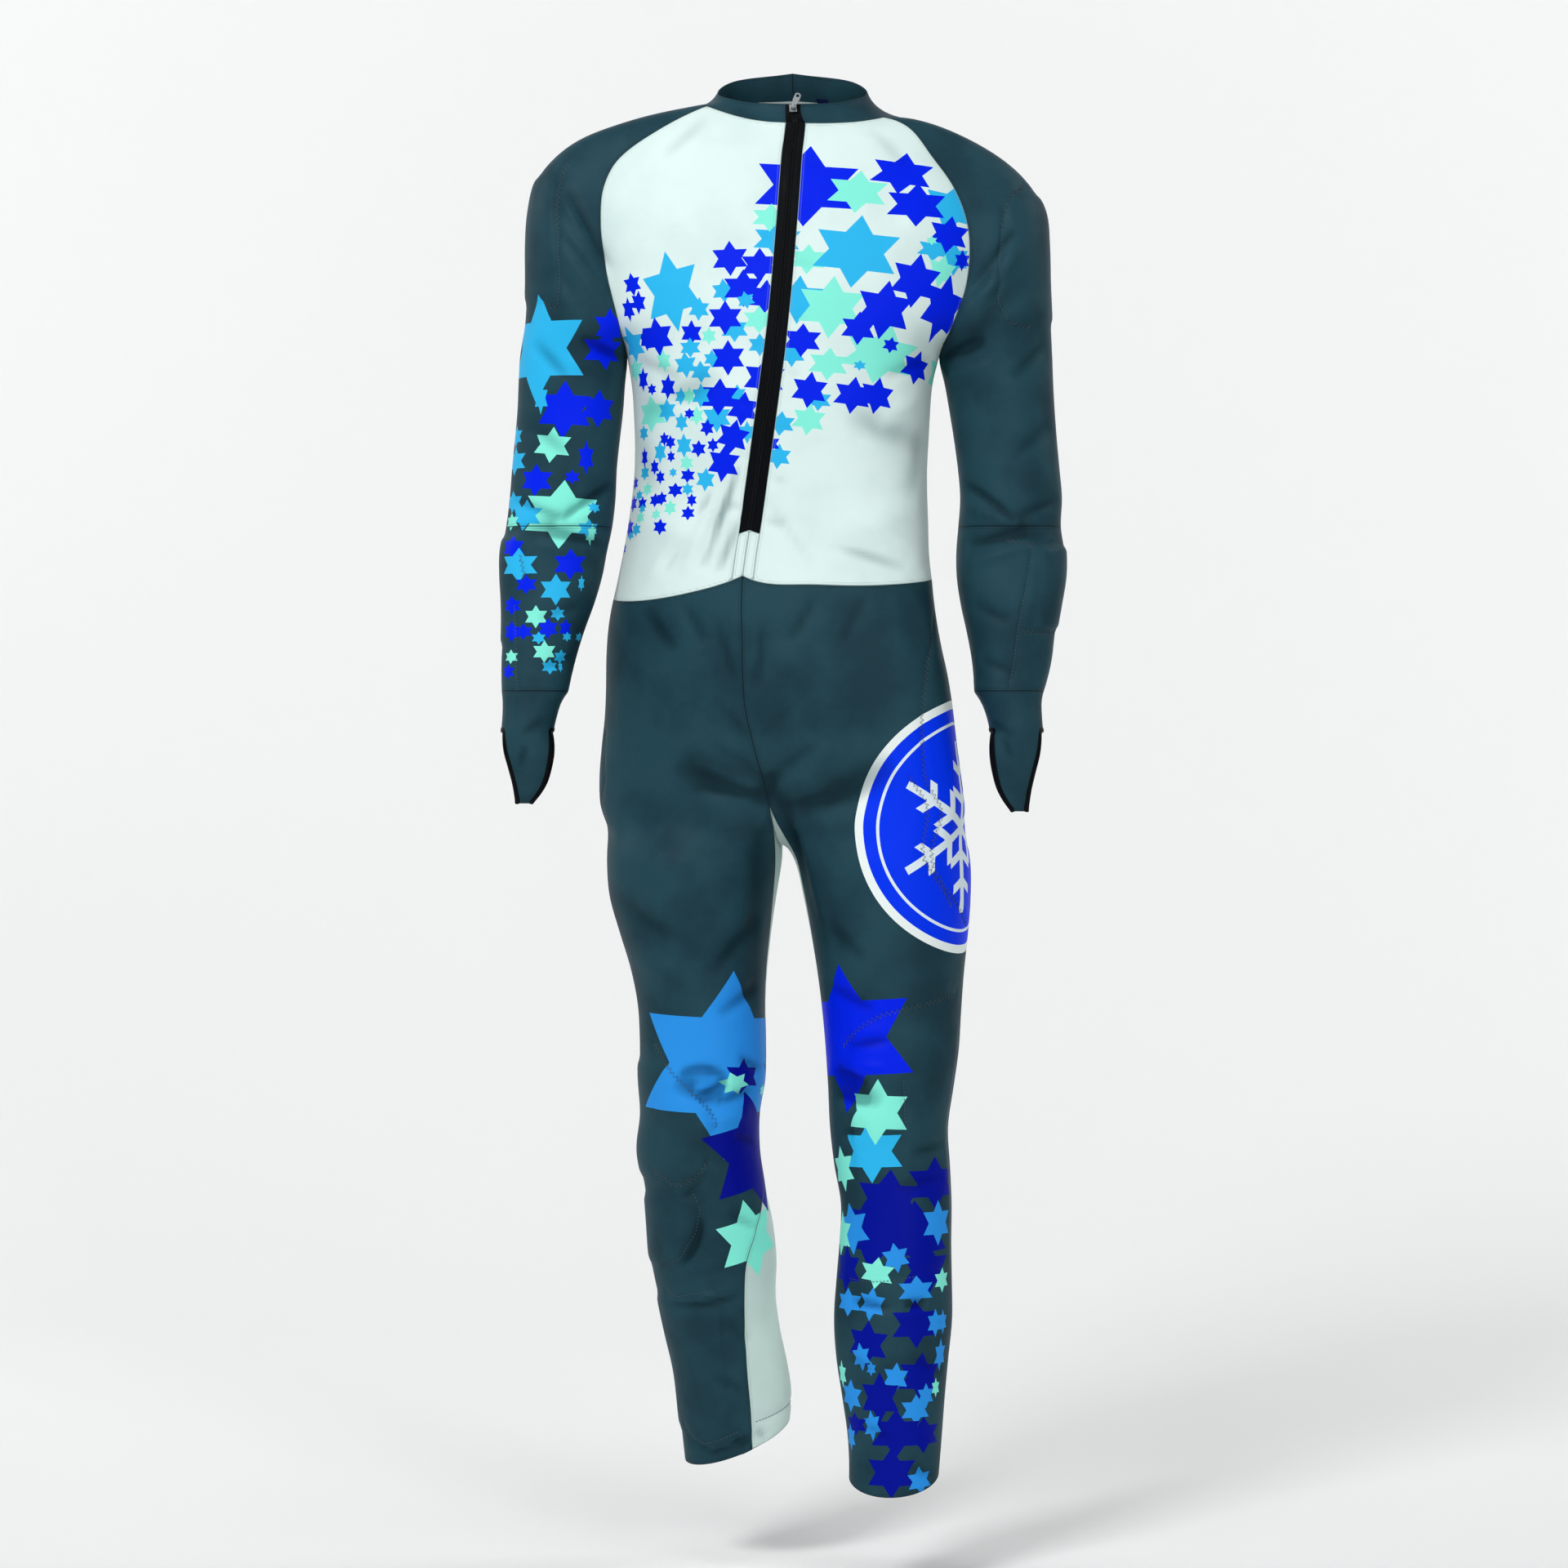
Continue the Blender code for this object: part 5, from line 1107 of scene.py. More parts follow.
def seam_places(cloth, quads, corners):
    """At each corner: distance to the panel's nearest edge, the folds' own height, which the
    cloth's colour uses for painted shade in fold troughs, and distance to the nearest line of pad
    stitching."""
    ends, shared = edges_of(quads)
    border = ends[shared == 1]
    used = np.unique(quads)
    points = cloth.places[used]
    nearest = np.full(len(points), FAR)
    a, b = cloth.places[border[:, 0]], cloth.places[border[:, 1]]
    for start in range(0, len(border), 64):
        p, q = a[start : start + 64], b[start : start + 64]
        run = q - p
        size = np.maximum((run * run).sum(axis=1), 1e-6)
        off = points[:, None] - p
        share = np.clip((off * run).sum(axis=2) / size, 0, 1)
        gap = np.linalg.norm(off - share[..., None] * run, axis=2)
        nearest = np.minimum(nearest, gap.min(axis=1))
    lookup = np.zeros(len(cloth.places))
    lookup[used] = nearest
    return np.stack([lookup[corners], cloth.relief[corners], cloth.pressed[corners]], axis=-1)


class Term:
    """A socket of a shader, so that sums on it add Math nodes."""

    def __init__(self, nodes, socket):
        self.nodes = nodes
        self.socket = socket

    def math(self, operation, *others):
        values = {k: v for k, v in enumerate((self,) + others)}
        return self.nodes.add("ShaderNodeMath", {"operation": operation}, values)[0]

    def __add__(self, other):
        return self.math("ADD", other)

    def __sub__(self, other):
        return self.math("SUBTRACT", other)

    def __mul__(self, other):
        return self.math("MULTIPLY", other)

    def __truediv__(self, other):
        return self.math("DIVIDE", other)

    def __lt__(self, other):
        return self.math("LESS_THAN", other)

    def __gt__(self, other):
        return self.math("GREATER_THAN", other)

    def __neg__(self):
        return self.math("MULTIPLY", -1.0)

    def __rsub__(self, other):
        return (-self) + other

    __radd__ = __add__
    __rmul__ = __mul__

    def least(self, other):
        return self.math("MINIMUM", other)

    def most(self, other):
        return self.math("MAXIMUM", other)

    def sine(self):
        return self.math("SINE")

    def size(self):
        return self.math("ABSOLUTE")

    def root(self):
        return self.math("SQRT")

    def faded(self, low, high):
        """0 below low, 1 above high, and a smooth step between."""
        settings = {"interpolation_type": "SMOOTHSTEP"}
        values = {"Value": self, "From Min": low, "From Max": high}
        return self.nodes.add("ShaderNodeMapRange", settings, values)[0]


class Finish:
    """A material with one shader, and the nodes that feed it."""

    def __init__(self, name, rough=0.5, metallic=0.0, **constants):
        self.material = bpy.data.materials.new(name)
        self.material.use_nodes = True
        self.tree = self.material.node_tree
        self.shader = self.tree.nodes["Principled BSDF"]
        self.shader.inputs["Roughness"].default_value = rough
        self.shader.inputs["Metallic"].default_value = metallic
        for title, value in constants.items():
            self.shader.inputs[title.replace("_", " ")].default_value = value

    def add(self, kind, settings=None, values=None):
        """A node of a kind: its settings first, then its sockets' values or links."""
        node = self.tree.nodes.new(kind)
        for title, value in (settings or {}).items():
            setattr(node, title, value)
        for title, value in (values or {}).items():
            if isinstance(value, Term):
                self.tree.links.new(value.socket, node.inputs[title])
            else:
                node.inputs[title].default_value = value
        return [Term(self, socket) for socket in node.outputs]

    def feed(self, title, value):
        if isinstance(value, Term):
            self.tree.links.new(value.socket, self.shader.inputs[title])
        else:
            self.shader.inputs[title].default_value = value

    def mix(self, share, first, second):
        """A colour between two colours."""
        settings = {"data_type": "RGBA"}
        return self.add("ShaderNodeMix", settings, {0: share, 6: first, 7: second})[2]

    def shade(self, share, colour, tint):
        """A colour darkened by painted shade: a share of its product with a tint."""
        settings = {"data_type": "RGBA", "blend_type": "MULTIPLY"}
        return self.add("ShaderNodeMix", settings, {0: share, 6: colour, 7: tint})[2]

    def parts(self, vector):
        return self.add("ShaderNodeSeparateXYZ", None, {0: vector})[:3]

    def attribute(self, title):
        return self.add("ShaderNodeAttribute", {"attribute_name": title})[1]

    def object_place(self):
        return self.add("ShaderNodeTexCoord")[3]

    def print_place(self):
        return self.add("ShaderNodeUVMap", {"uv_map": "print"})[0]

    def noise(self, place, scale, detail=3.0, rough=0.5):
        values = {"Vector": place, "Scale": scale, "Detail": detail, "Roughness": rough}
        return self.add("ShaderNodeTexNoise", None, values)[0]

    def bump(self, height, strength, distance):
        values = {"Strength": strength, "Distance": distance, "Height": height}
        self.feed("Normal", self.add("ShaderNodeBump", None, values)[0])


def linear(text):
    """Red, green, blue of a six-digit colour as shown, made linear."""
    shown = np.array([int(text[k : k + 2], 16) for k in (0, 2, 4)]) / 255
    value = np.where(shown <= 0.04045, shown / 12.92, ((shown + 0.055) / 1.055) ** 2.4)
    return (*[float(v) for v in value], 1.0)


def star_share(finish, layer):
    """1 inside a six-pointed star whose tips lie at distance 1, made of two triangles: with q
    the distances along three directions a third of a turn apart, the smaller of max(q) and
    -min(q) is under one half. Also the star's colour number."""
    x, y, shade = finish.parts(finish.attribute(f"star_{layer}"))
    half_height = y * 0.5
    wide = x * 0.8660254
    first, second, third = -y, half_height + wide, half_height - wide
    largest = first.most(second).most(third)
    smallest = first.least(second).least(third)
    return largest.least(-smallest) < 0.5, shade


# The disc's design, in shares of its radius
DISC_RIM = 0.933  # the light rim starts here
RING_REACH = 0.82
RING_HALF = 0.012
ARM_HALF = 0.032
ARM_REACH = 0.68
BRANCHES = ((0.2, 0.16), (0.42, 0.13))  # start along the arm, reach to the side
BRANCH_HALF = 0.036
BRANCH_RISE = 0.5774


def disc_print(finish, base):
    """A printed disc with a light rim and a snow crystal: six arms on three lines through the
    middle, each with two pairs of side branches that rise outward by 30 degrees."""
    across, up, _ = finish.parts(finish.print_place())
    x = (across - DISC_PLACE[0]) / DISC_REACH
    y = (up - DISC_PLACE[1]) / DISC_REACH
    away = (x * x + y * y).root()
    base = finish.mix(away < 1.0, base, linear("e8f2f0"))
    base = finish.mix(away < DISC_RIM, base, linear("0034ee"))
    mark = (away - RING_REACH).size() < RING_HALF
    for degrees in (0, 60, 120):
        a = math.radians(degrees)
        along = (x * math.sin(a) + y * math.cos(a)).size()
        side = (x * math.cos(a) - y * math.sin(a)).size()
        mark = mark.most((side < ARM_HALF) * (along < ARM_REACH))
        for start, reach in BRANCHES:
            branch = (along - side * BRANCH_RISE - start).size() < BRANCH_HALF
            mark = mark.most(branch * (side < reach))
    return finish.mix(mark, base, linear("dcebf2"))


# The cloth's sewing in millimetres, its knit on the print plane in metres, and the painted shade
# in fold troughs
SEAM_GROOVE = (0.3, 1.1)  # a seam's groove fades out between these distances from the edge
STITCH_ROW = 2.6  # a row of stitches runs this far from the edge
STITCH_HALF = (0.25, 0.55)
DIMPLE = (0.4, 3.2)  # the dent beside a line of pad stitching fades out between these
STITCH = 0.0016  # from one stitch to the next
RIB_ACROSS = 0.0011  # from one rib to the next
RIB_UP = 0.0015
FOLD_SHADE_DEPTH = (0.1, 4.0)  # painted shade: a fold's trough is darkened between these depths
# The tint multiplied into fold troughs as painted shade
FOLD_SHADE_TINT = "8a989c"


def cloth_finish(name, colour, shadow, stars, seam_colour, disc=False):
    """Smooth stretch cloth: printed stars, a fine rib, a sewn line along the panel's edges, and
    painted shade that darkens the troughs of folds.
    """
    finish = Finish(name, Specular_IOR_Level=0.06)
    place = finish.object_place()
    patch = finish.noise(place, 15.0, 6.0)
    base = finish.mix(patch.faded(0.35, 0.7), linear(colour), linear(shadow))
    if stars:
        for layer in range(STAR_LAYERS):
            share, shade = star_share(finish, layer)
            ink = linear(INKS[0])
            for number in range(1, len(INKS)):
                ink = finish.mix(shade > number - 0.5, ink, linear(INKS[number]))
            base = finish.mix(share, base, ink)
    if disc:
        base = disc_print(finish, base)
    gap, fold, quilt = finish.parts(finish.attribute("seam"))
    across, up, _ = finish.parts(finish.print_place())
    # Painted shade: the colour darkens in the troughs of the folds, where shade would fall
    base = finish.shade((-fold).faded(*FOLD_SHADE_DEPTH) * 0.75, base, linear(FOLD_SHADE_TINT))
    stitched = (up * (math.tau / STITCH)).sine() > -0.2
    groove = 1.0 - gap.faded(*SEAM_GROOVE)
    row = (1.0 - (gap - STITCH_ROW).size().faded(*STITCH_HALF)) * stitched
    base = finish.mix((groove * 0.75).most(row * 0.35), base, linear(seam_colour))
    finish.feed("Base Color", base)
    sway = finish.noise(place, 24.0, 1.5)
    rib = (across * (math.tau / RIB_ACROSS)).sine() + (up * (math.tau / RIB_UP)).sine()
    grain = finish.noise(place, 900.0, 2.0)
    finish.feed("Roughness", 0.4 + patch * 0.12 + grain * 0.06)
    dimple = 1.0 - quilt.faded(*DIMPLE)
    relief = rib * 0.03 + grain * 0.06 + sway * 2.2 - groove * 0.7 - row * 0.25 - dimple * 0.8
    finish.bump(relief, 0.7, 0.0008)
    return finish.material


def shell(cloth, name, panel, outer, inner, look, stars=(), share=None):
    """A wall of cloth between two depths under the sheet, closed by a rim along its border.
    share, where given, scales the depth below outer at each point of the sheet."""
    quads, marks = panel
    used, local = np.unique(quads, return_inverse=True)
    local = local.reshape(quads.shape)
    count = len(used)
    normals = cloth.normals[used]
    depth = np.full(count, float(inner - outer))
    if share is not None:
        depth = depth * share[used]
    top = cloth.places[used] - normals * outer
    low = top - normals * depth[:, None]
    ends, shared = edges_of(local)
    border = ends[shared == 1]
    rim = np.concatenate([border[:, ::-1], border + count], axis=1)
    cells = np.concatenate([local, local[:, ::-1] + count, rim])
    plane = cloth.plane(marks)
    flat = np.zeros((len(cells), 4, 2))
    flat[: len(quads)] = plane
    flat[len(quads) : 2 * len(quads)] = plane[:, ::-1]
    corners = np.concatenate([quads, quads[:, ::-1]])
    seam = np.zeros((len(cells), 4, 3))
    seam[: len(corners)] = seam_places(cloth, quads, corners)
    seam[len(corners) :, :, 0] = RIM_GAP
    seam[len(corners) :, :, 2] = FAR
    values = [("seam", seam)]
    if stars:
        layers = star_layers(plane, stars)
        for number, layer in enumerate(layers):
            value = np.full((len(cells), 4, 3), OUTSIDE)
            value[: len(quads)] = layer
            values.append((f"star_{number}", value))
    thing = mesh_piece(name, np.concatenate([top, low]), cells, values, flat * MM)
    thing.data.set_sharp_from_angle(angle=math.radians(SHARP_TURN))
    thing.data.materials.append(look)
    return thing


def carried(points, normals, outline, closed=False):
    """A profile carried along a path. outline holds places across and out, in millimetres.
    At each point of the path, out is the cloth's normal and across is path times normal."""
    if closed:
        run = np.roll(points, -1, axis=0) - np.roll(points, 1, axis=0)
    else:
        run = np.gradient(points, axis=0)
    run = unit(run)
    side = unit(np.cross(run, normals))
    out = np.cross(side, run)
    across, away = outline[None, :, 0, None], outline[None, :, 1, None]
    return points[:, None] + side[:, None] * across + out[:, None] * away


def tube_cells(rows, columns, closed, first=0):
    """Cells round a tube of points laid out in rows, open at both ends or closed to a ring."""
    index = first + np.arange(rows * columns).reshape(rows, columns)
    ring = np.concatenate([index, index[:, :1]], axis=1)
    if closed:
        ring = np.concatenate([ring, ring[:1]])
    cells = [ring[:-1, :-1], ring[1:, :-1], ring[1:, 1:], ring[:-1, 1:]]
    return np.stack(cells, axis=-1).reshape(-1, 4)


def round_outline(across, out, count=8):
    """An ellipse of given half width and half height."""
    a = np.arange(count) * math.tau / count
    return np.stack([across * np.cos(a), out * np.sin(a)], axis=-1)


def tubes(name, paths, outline, look):
    """Several profiles carried along paths, in one mesh. A path is points, normals, closed."""
    everything, cells, first = [], [], 0
    for points, normals, closed in paths:
        places = carried(points, normals, outline, closed)
        rows, columns = places.shape[:2]
        everything.append(places.reshape(-1, 3))
        cells.append(tube_cells(rows, columns, closed, first))
        first += rows * columns
        if not closed:
            ends = np.stack([places[0].mean(axis=0), places[-1].mean(axis=0)])
            everything.append(ends)
            for row, centre, flip in ((0, first, True), (rows - 1, first + 1, False)):
                ring = first + (row - rows) * columns + np.arange(columns)
                follow = np.roll(ring, -1)
                fan = np.stack([ring, follow, np.full(columns, centre)], axis=-1)
                fan = np.concatenate([fan, fan[:, 2:]], axis=1)
                cells.append(fan[:, ::-1] if flip else fan)
            first += 2
    return polygons(name, np.concatenate(everything), np.concatenate(cells), look)


def polygons(name, points, quads, look):
    """A mesh of cells with four corners, or three where two of them are one point."""
    triangle = (quads[:, 2] == quads[:, 3]) | (quads[:, 0] == quads[:, 1])
    faces = [list(dict.fromkeys(cell)) for cell in quads[triangle].tolist()]
    faces = quads[~triangle].tolist() + faces
    mesh = bpy.data.meshes.new(name)
    mesh.from_pydata((points * MM).tolist(), [], faces)
    mesh.shade_smooth()
    mesh.materials.append(look)
    return placed(name, mesh)


# Which rows and columns of each net a cloth panel takes: net, rows, columns
PANELS = {}
for hand, key in (("right", "R"), ("left", "L")):
    PANELS["front_" + hand] = [("front_" + key, None, (1, FRONT_COLUMNS))]
    PANELS["sleeve_upper_" + hand] = [("sleeve_" + key, (0, ELBOW), None)]
    PANELS["sleeve_lower_" + hand] = [("sleeve_" + key, (ELBOW, 20), None)]
    PANELS["leg_front_" + hand] = [("leg_" + key, None, (0, OUTER_SEAM))]
    PANELS["leg_back_" + hand] = [
        ("leg_" + key, (0, HIP_ROWS), (OUTER_SEAM, HALF_COLUMNS)),
        ("leg_" + key, (HIP_ROWS, 24), (OUTER_SEAM, LEG_COLUMNS)),
    ]
    PANELS["cuff_" + hand] = [("cuff_" + key, None, None), ("tongue_" + key, None, None)]
PANELS["back"] = [("back_R", None, None), ("back_L", None, None)]
PANELS["collar"] = [("collar_R", None, (1, 25)), ("collar_L", None, (1, 25))]
ZIP_END = GUARD_ROW - 0.375  # the row where the zip ends and the guard starts
ZIP_ROWS = (ZIP_END, BODY_ROWS + YOKE_ROWS)
PANELS["zip_tape"] = [("front_R", ZIP_ROWS, (0, 1)), ("front_L", ZIP_ROWS, (0, 1))]
PANELS["zip_tape"] += [("collar_R", None, (0, 1)), ("collar_L", None, (0, 1))]
PANELS["zip_guard"] = [("front_R", (0, ZIP_END), (0, 1)), ("front_L", (0, ZIP_END), (0, 1))]

# The net's column from which the print plane is unrolled, and the column of a leg's back
# from which the plane belongs to the inner seam
PRINT_COLUMN = dict(front=0, back=7, sleeve=3, leg=4, collar=0, cuff=3, tongue=2)
INNER_PRINT = 14

# Inks of the stars by number, and how many stars may lie over one place; ink 4 is the royal ink
# darkened as painted shade
INKS = ("0022e6", "020c8a", "2cb4ea", "82ecd8", "000f92", "2a90e4")
STAR_LAYERS = 5

# The thigh's printed disc: middle on the print plane and radius, in metres
DISC_PLACE = (0.194, -0.711)
DISC_REACH = 0.126

# Pads that show through the cloth: net, first and last row, first and last column, height
PAD_EDGE = 0.3  # they rise over this share of a row, a column counting for less
PAD_ASPECT = 0.7
RAISED = (
    ("sleeve_L", 3.4, 7.1, 1.9, 8.6, 2.2),
    ("sleeve_R", 2.9, 6.6, 2.5, 8.6, 2.2),
    ("sleeve_L", 14.7, 18.0, 3.9, 8.0, 2.4),
    ("sleeve_R", 14.3, 18.5, 4.2, 8.0, 2.2),
    ("leg_R", 13.4, 16.8, 3.3, 8.6, 2.4),
    ("leg_R", 17.1, 19.2, 3.4, 8.0, 2.4),
    ("leg_R", 19.9, 23.4, 1.2, 8.0, 2.4),
    ("leg_L", 12.2, 18.7, 1.9, 7.0, 2.0),
)

# Lines of stitching that hold the pads: net, half width of the zigzag or 0 for a straight
# row, and the (row, column) places that the line runs through
QUILT_STEP = 3.0  # from one point of a line to the next, when distances are taken to it
QUILT_REACH = 12.0  # how far round a line they are taken
QUILT_DEPTH = 1.5  # the dent along a line: its depth and half width
QUILT_HALF = 3.6
QUILT_LINES = (
    ("sleeve_L", 2.2, ((3.2, 4.4), (3.45, 3.2), (3.7, 2.4), (3.95, 1.95), (4.4, 1.7))),
    ("sleeve_L", 0.0, ((4.4, 1.7), (5.3, 1.7), (6.4, 2.2), (7.0, 2.99))),
    ("sleeve_L", 2.2, ((7.0, 2.99), (7.12, 3.5), (7.17, 4.01))),
    ("sleeve_R", 2.2, ((2.6, 2.75), (3.3, 2.5), (4.4, 2.35))),
    ("sleeve_R", 0.0, ((4.4, 2.35), (5.33, 2.65), (6.1, 2.95), (6.6, 3.22))),
    ("sleeve_R", 2.2, ((6.6, 3.22), (6.62, 3.6), (6.5, 4.0))),
    ("sleeve_L", 2.2, ((14.6, 2.71), (14.7, 3.46), (14.78, 4.6))),
    ("sleeve_L", 2.2, ((18.0, 3.34), (18.04, 4.12), (18.0, 5.48))),
    ("sleeve_L", 0.0, ((14.88, 3.73), (16.8, 3.47), (18.46, 3.13), (19.8, 2.88))),
    ("sleeve_R", 2.2, ((15.2, 4.25), (15.6, 4.15), (16.05, 4.04))),
    ("sleeve_R", 0.0, ((17.1, 4.48), (18.46, 4.27), (19.85, 4.02))),
    ("leg_L", 2.2, ((1.17, 5.65), (2.46, 4.62), (3.96, 4.13), (6.22, 3.89), (7.79, 4.9),
                    (8.71, 5.56), (9.67, 6.83))),
    ("leg_R", 0.0, ((4.5, 5.0), (5.6, 4.85), (6.12, 4.73), (6.9, 5.2), (7.33, 5.67))),
    ("leg_R", 2.2, ((13.0, 5.83), (13.87, 4.79), (14.38, 4.05), (14.78, 3.39), (15.22, 3.05))),
    ("leg_R", 2.2, ((16.5, 5.9), (16.87, 4.6), (16.6, 3.8), (16.17, 3.34))),
    ("leg_R", 0.0, ((17.0, 4.0), (17.5, 3.34), (18.17, 3.15), (18.88, 3.62), (19.17, 4.82))),
    ("leg_R", 0.0, ((19.83, 4.84), (19.95, 4.0), (19.86, 3.1), (19.71, 1.79))),
    ("leg_R", 0.0, ((23.17, 4.99), (23.45, 4.1), (23.55, 3.15), (23.5, 2.0), (23.42, 0.84))),
    ("leg_R", 0.0, ((23.45, 10.3), (23.5, 12.5), (23.42, 15.0), (23.33, 17.8))),
    ("leg_L", 2.2, ((12.83, 1.7), (12.28, 2.62), (11.97, 3.4), (11.78, 4.55), (11.5, 6.5))),
    ("leg_L", 0.0, ((13.67, 4.19), (14.94, 4.38))),
    ("leg_L", 0.0, ((18.85, 1.5), (18.9, 2.6), (18.85, 3.6), (18.75, 4.6))),
    ("leg_L", 2.2, ((6.0, 3.5), (7.2, 4.0), (8.33, 5.14), (9.17, 5.84))),
)

# Foam pads: net, rows, columns; each lies under the cloth
PAD_PLACES = {}
for key in "RL":
    PAD_PLACES["upper_arm_pad_" + key] = "sleeve_" + key, (3, 10), (5, 9)
    PAD_PLACES["forearm_pad_" + key] = "sleeve_" + key, (14, 18), (4, 8)
    PAD_PLACES["thigh_pad_" + key] = "leg_" + key, (4, 12), (4, 7)
    PAD_PLACES["knee_pad_" + key] = "leg_" + key, (13, 16), (2, 6)
    PAD_PLACES["shin_pad_" + key] = "leg_" + key, (17, 24), (2, 6)
PAD_THICK = 4.6
PAD_RIM = 0.2  # how full a pad is at its border, and over how many cells it fills up
PAD_ROUND = 0.9
PAD_GAP = 0.3  # between the cloth's inner face and a pad

ZIP_PITCH = 1.7
BINDING = (3.0, 1.4)  # half width and half thickness of the hand loops' binding
THREAD = 0.4  # half the thickness of the sewing thread
THREAD_LIFT = 0.15
ZIGZAG_STEP = 2.6  # from one corner of a zigzag to the next
STITCH_STEP = 0.9
STITCH_ARCH = (-0.1, 0.22, -0.1)  # height of a straight stitch over the cloth
# A zip tooth: from and to across, half its height, from and to out of the cloth
TOOTH_ACROSS = (0.2, 2.5)
TOOTH_HALF = 0.4
TOOTH_OUT = (-0.2, 0.75)

# The cut of a cloth piece
WORN = 0.94  # the cut's size beside the worn cloth's
# A piece that fills less or more of its rectangle than these gets one that it fills evenly
LEAST_FILL = 0.32
MOST_FILL = 0.99
EVEN_FILL = 0.9
SHORTEST = 0.011  # the shortest side that is stated, in metres


def cut_size(cloth, thing, pieces, share=WORN):
    """Width, length and area of a panel's cut, in metres: the longest row of each side of the
    suit added up, the longest columns of its nets added up, and half of the surface, all
    taken back by the stretch that the cloth is worn at."""
    wide = {"R": 0.0, "L": 0.0}
    long = {"R": 0.0, "L": 0.0}
    for title, rows, columns in pieces:
        net = cloth.places[part_of(cloth.index[title], rows, columns)]
        across_row = np.linalg.norm(np.diff(net, axis=1), axis=-1).sum(axis=1).max()
        down_column = np.linalg.norm(np.diff(net, axis=0), axis=-1).sum(axis=0).max()
        wide[title[-1]] = max(wide[title[-1]], across_row)
        long[title[-1]] += down_column
    width, length = sum(wide.values()), max(long.values())
    area = 0.5 * sum(face.area for face in thing.data.polygons) * share * share
    width, length = width * MM * share, length * MM * share
    filled = area / (width * length)
    if not LEAST_FILL < filled < MOST_FILL:
        fit = math.sqrt(filled / EVEN_FILL)
        width, length = width * fit, length * fit
    return (max(width, SHORTEST), max(length, SHORTEST)), area


def sewing(cloth, name, look):
    """Thread along each line of pad stitching: a zigzag, or straight stitches with gaps."""
    paths = []
    for title, half, keys in QUILT_LINES:
        if half:
            points, normals = cloth.path(title, keys, ZIGZAG_STEP)
            side = unit(np.cross(np.gradient(points, axis=0), normals))
            swing = np.where(np.arange(len(points)) % 2 == 0, half, -half)
            points = points + side * swing[:, None] + normals * THREAD_LIFT
            paths.append((points, normals, False))
            continue
        points, normals = cloth.path(title, keys, STITCH_STEP)
        arch = np.array(STITCH_ARCH)[:, None]
        for start in range(0, len(points) - len(arch), len(arch) + 1):
            part = slice(start, start + len(arch))
            paths.append((points[part] + normals[part] * arch, normals[part], False))
    return tubes(name, paths, round_outline(THREAD, THREAD, 5), look)


def zip_teeth(cloth, name, look):
    """Two rows of small blocks along the middle of the zip, one half a step behind the other."""
    places, normals = [], []
    for title, rows in (("front_R", ZIP_ROWS), ("collar_R", (0, 1.1))):
        row = np.linspace(*rows, 200)
        found = cloth.at(title, row, np.zeros(200))
        places.append(found[0])
        normals.append(found[1])
    places, normals = np.concatenate(places), np.concatenate(normals)
    run = distances(places)
    near, far = TOOTH_ACROSS
    base = ((near, -TOOTH_HALF), (far, -TOOTH_HALF), (far, TOOTH_HALF), (near, TOOTH_HALF))
    corner = np.array([(x, y, z) for z in TOOTH_OUT for x, y in base])
    blocks = []
    for way, start in ((-1, 0.4), (1, 0.4 + ZIP_PITCH / 2)):
        at = np.arange(start, run[-1] - 1, ZIP_PITCH)
        point, out = resampled(places, run, at), resampled(normals, run, at)
        along = unit(np.gradient(point, axis=0))
        side = unit(np.cross(along, out) * way)
        frames = np.stack([side, along, out], axis=1)
        blocks.append(point[:, None] + np.einsum("kc,ncd->nkd", corner, frames))
    blocks = np.concatenate(blocks)
    sides = [(k, (k + 1) % 4, (k + 1) % 4 + 4, k + 4) for k in range(4)]
    box = np.array([(0, 3, 2, 1), (4, 5, 6, 7), *sides])
    quads = (8 * np.arange(len(blocks))[:, None, None] + box).reshape(-1, 4)
    return polygons(name, blocks.reshape(-1, 3), quads, look)


def loop_binding(cloth, key, edge, name, look):
    """A folded band round a hand loop's opening: down one edge of the tongue and back along
    the cuff's end."""
    tongue = cloth.index["tongue_" + key][:, edge * FINE]
    hem = cloth.index["cuff_" + key][-1]
    if edge:
        back = hem[5 * FINE + 1 : 7 * FINE][::-1]
    else:
        back = np.concatenate([hem[11 * FINE + 1 : 12 * FINE], hem[: FINE]])
    loop = np.concatenate([tongue, back])
    points, normals = cloth.places[loop], cloth.normals[loop]
    for _ in range(4):
        points = (np.roll(points, 1, axis=0) + 2 * points + np.roll(points, -1, axis=0)) / 4
        normals = (np.roll(normals, 1, axis=0) + 2 * normals + np.roll(normals, -1, axis=0)) / 4
    points = points - normals * CLOTH / 2
    length = np.linalg.norm(np.roll(points, -1, axis=0) - points, axis=1).sum()
    outline = round_outline(*BINDING, 12)
    return tubes(name, [(points, normals, True)], outline, look), length * MM


def pad_share(cloth, title, rows, columns):
    """How full a pad is at each point of the cloth: 1 inside, PAD_RIM at the pad's border."""
    index = cloth.index[title]
    inside = share_inside(index, rows, columns, PAD_ROUND)
    full = np.full(len(cloth.places), PAD_RIM)
    value = PAD_RIM + (1 - PAD_RIM) * np.sqrt(inside * (2 - inside))
    np.maximum.at(full, index.ravel(), value.ravel())
    return full


cloth = Cloth()

# Colours of the cloth: mean tone, darker tone
GREY = ("234550", "1b3742")
WHITE = ("daedea", "d0e5e3")
PALE = ("c6dad5", "bed3ce")
ZIP_BLACK = ("05080b", "090d11")
GREY_SEAM = "0d181d"

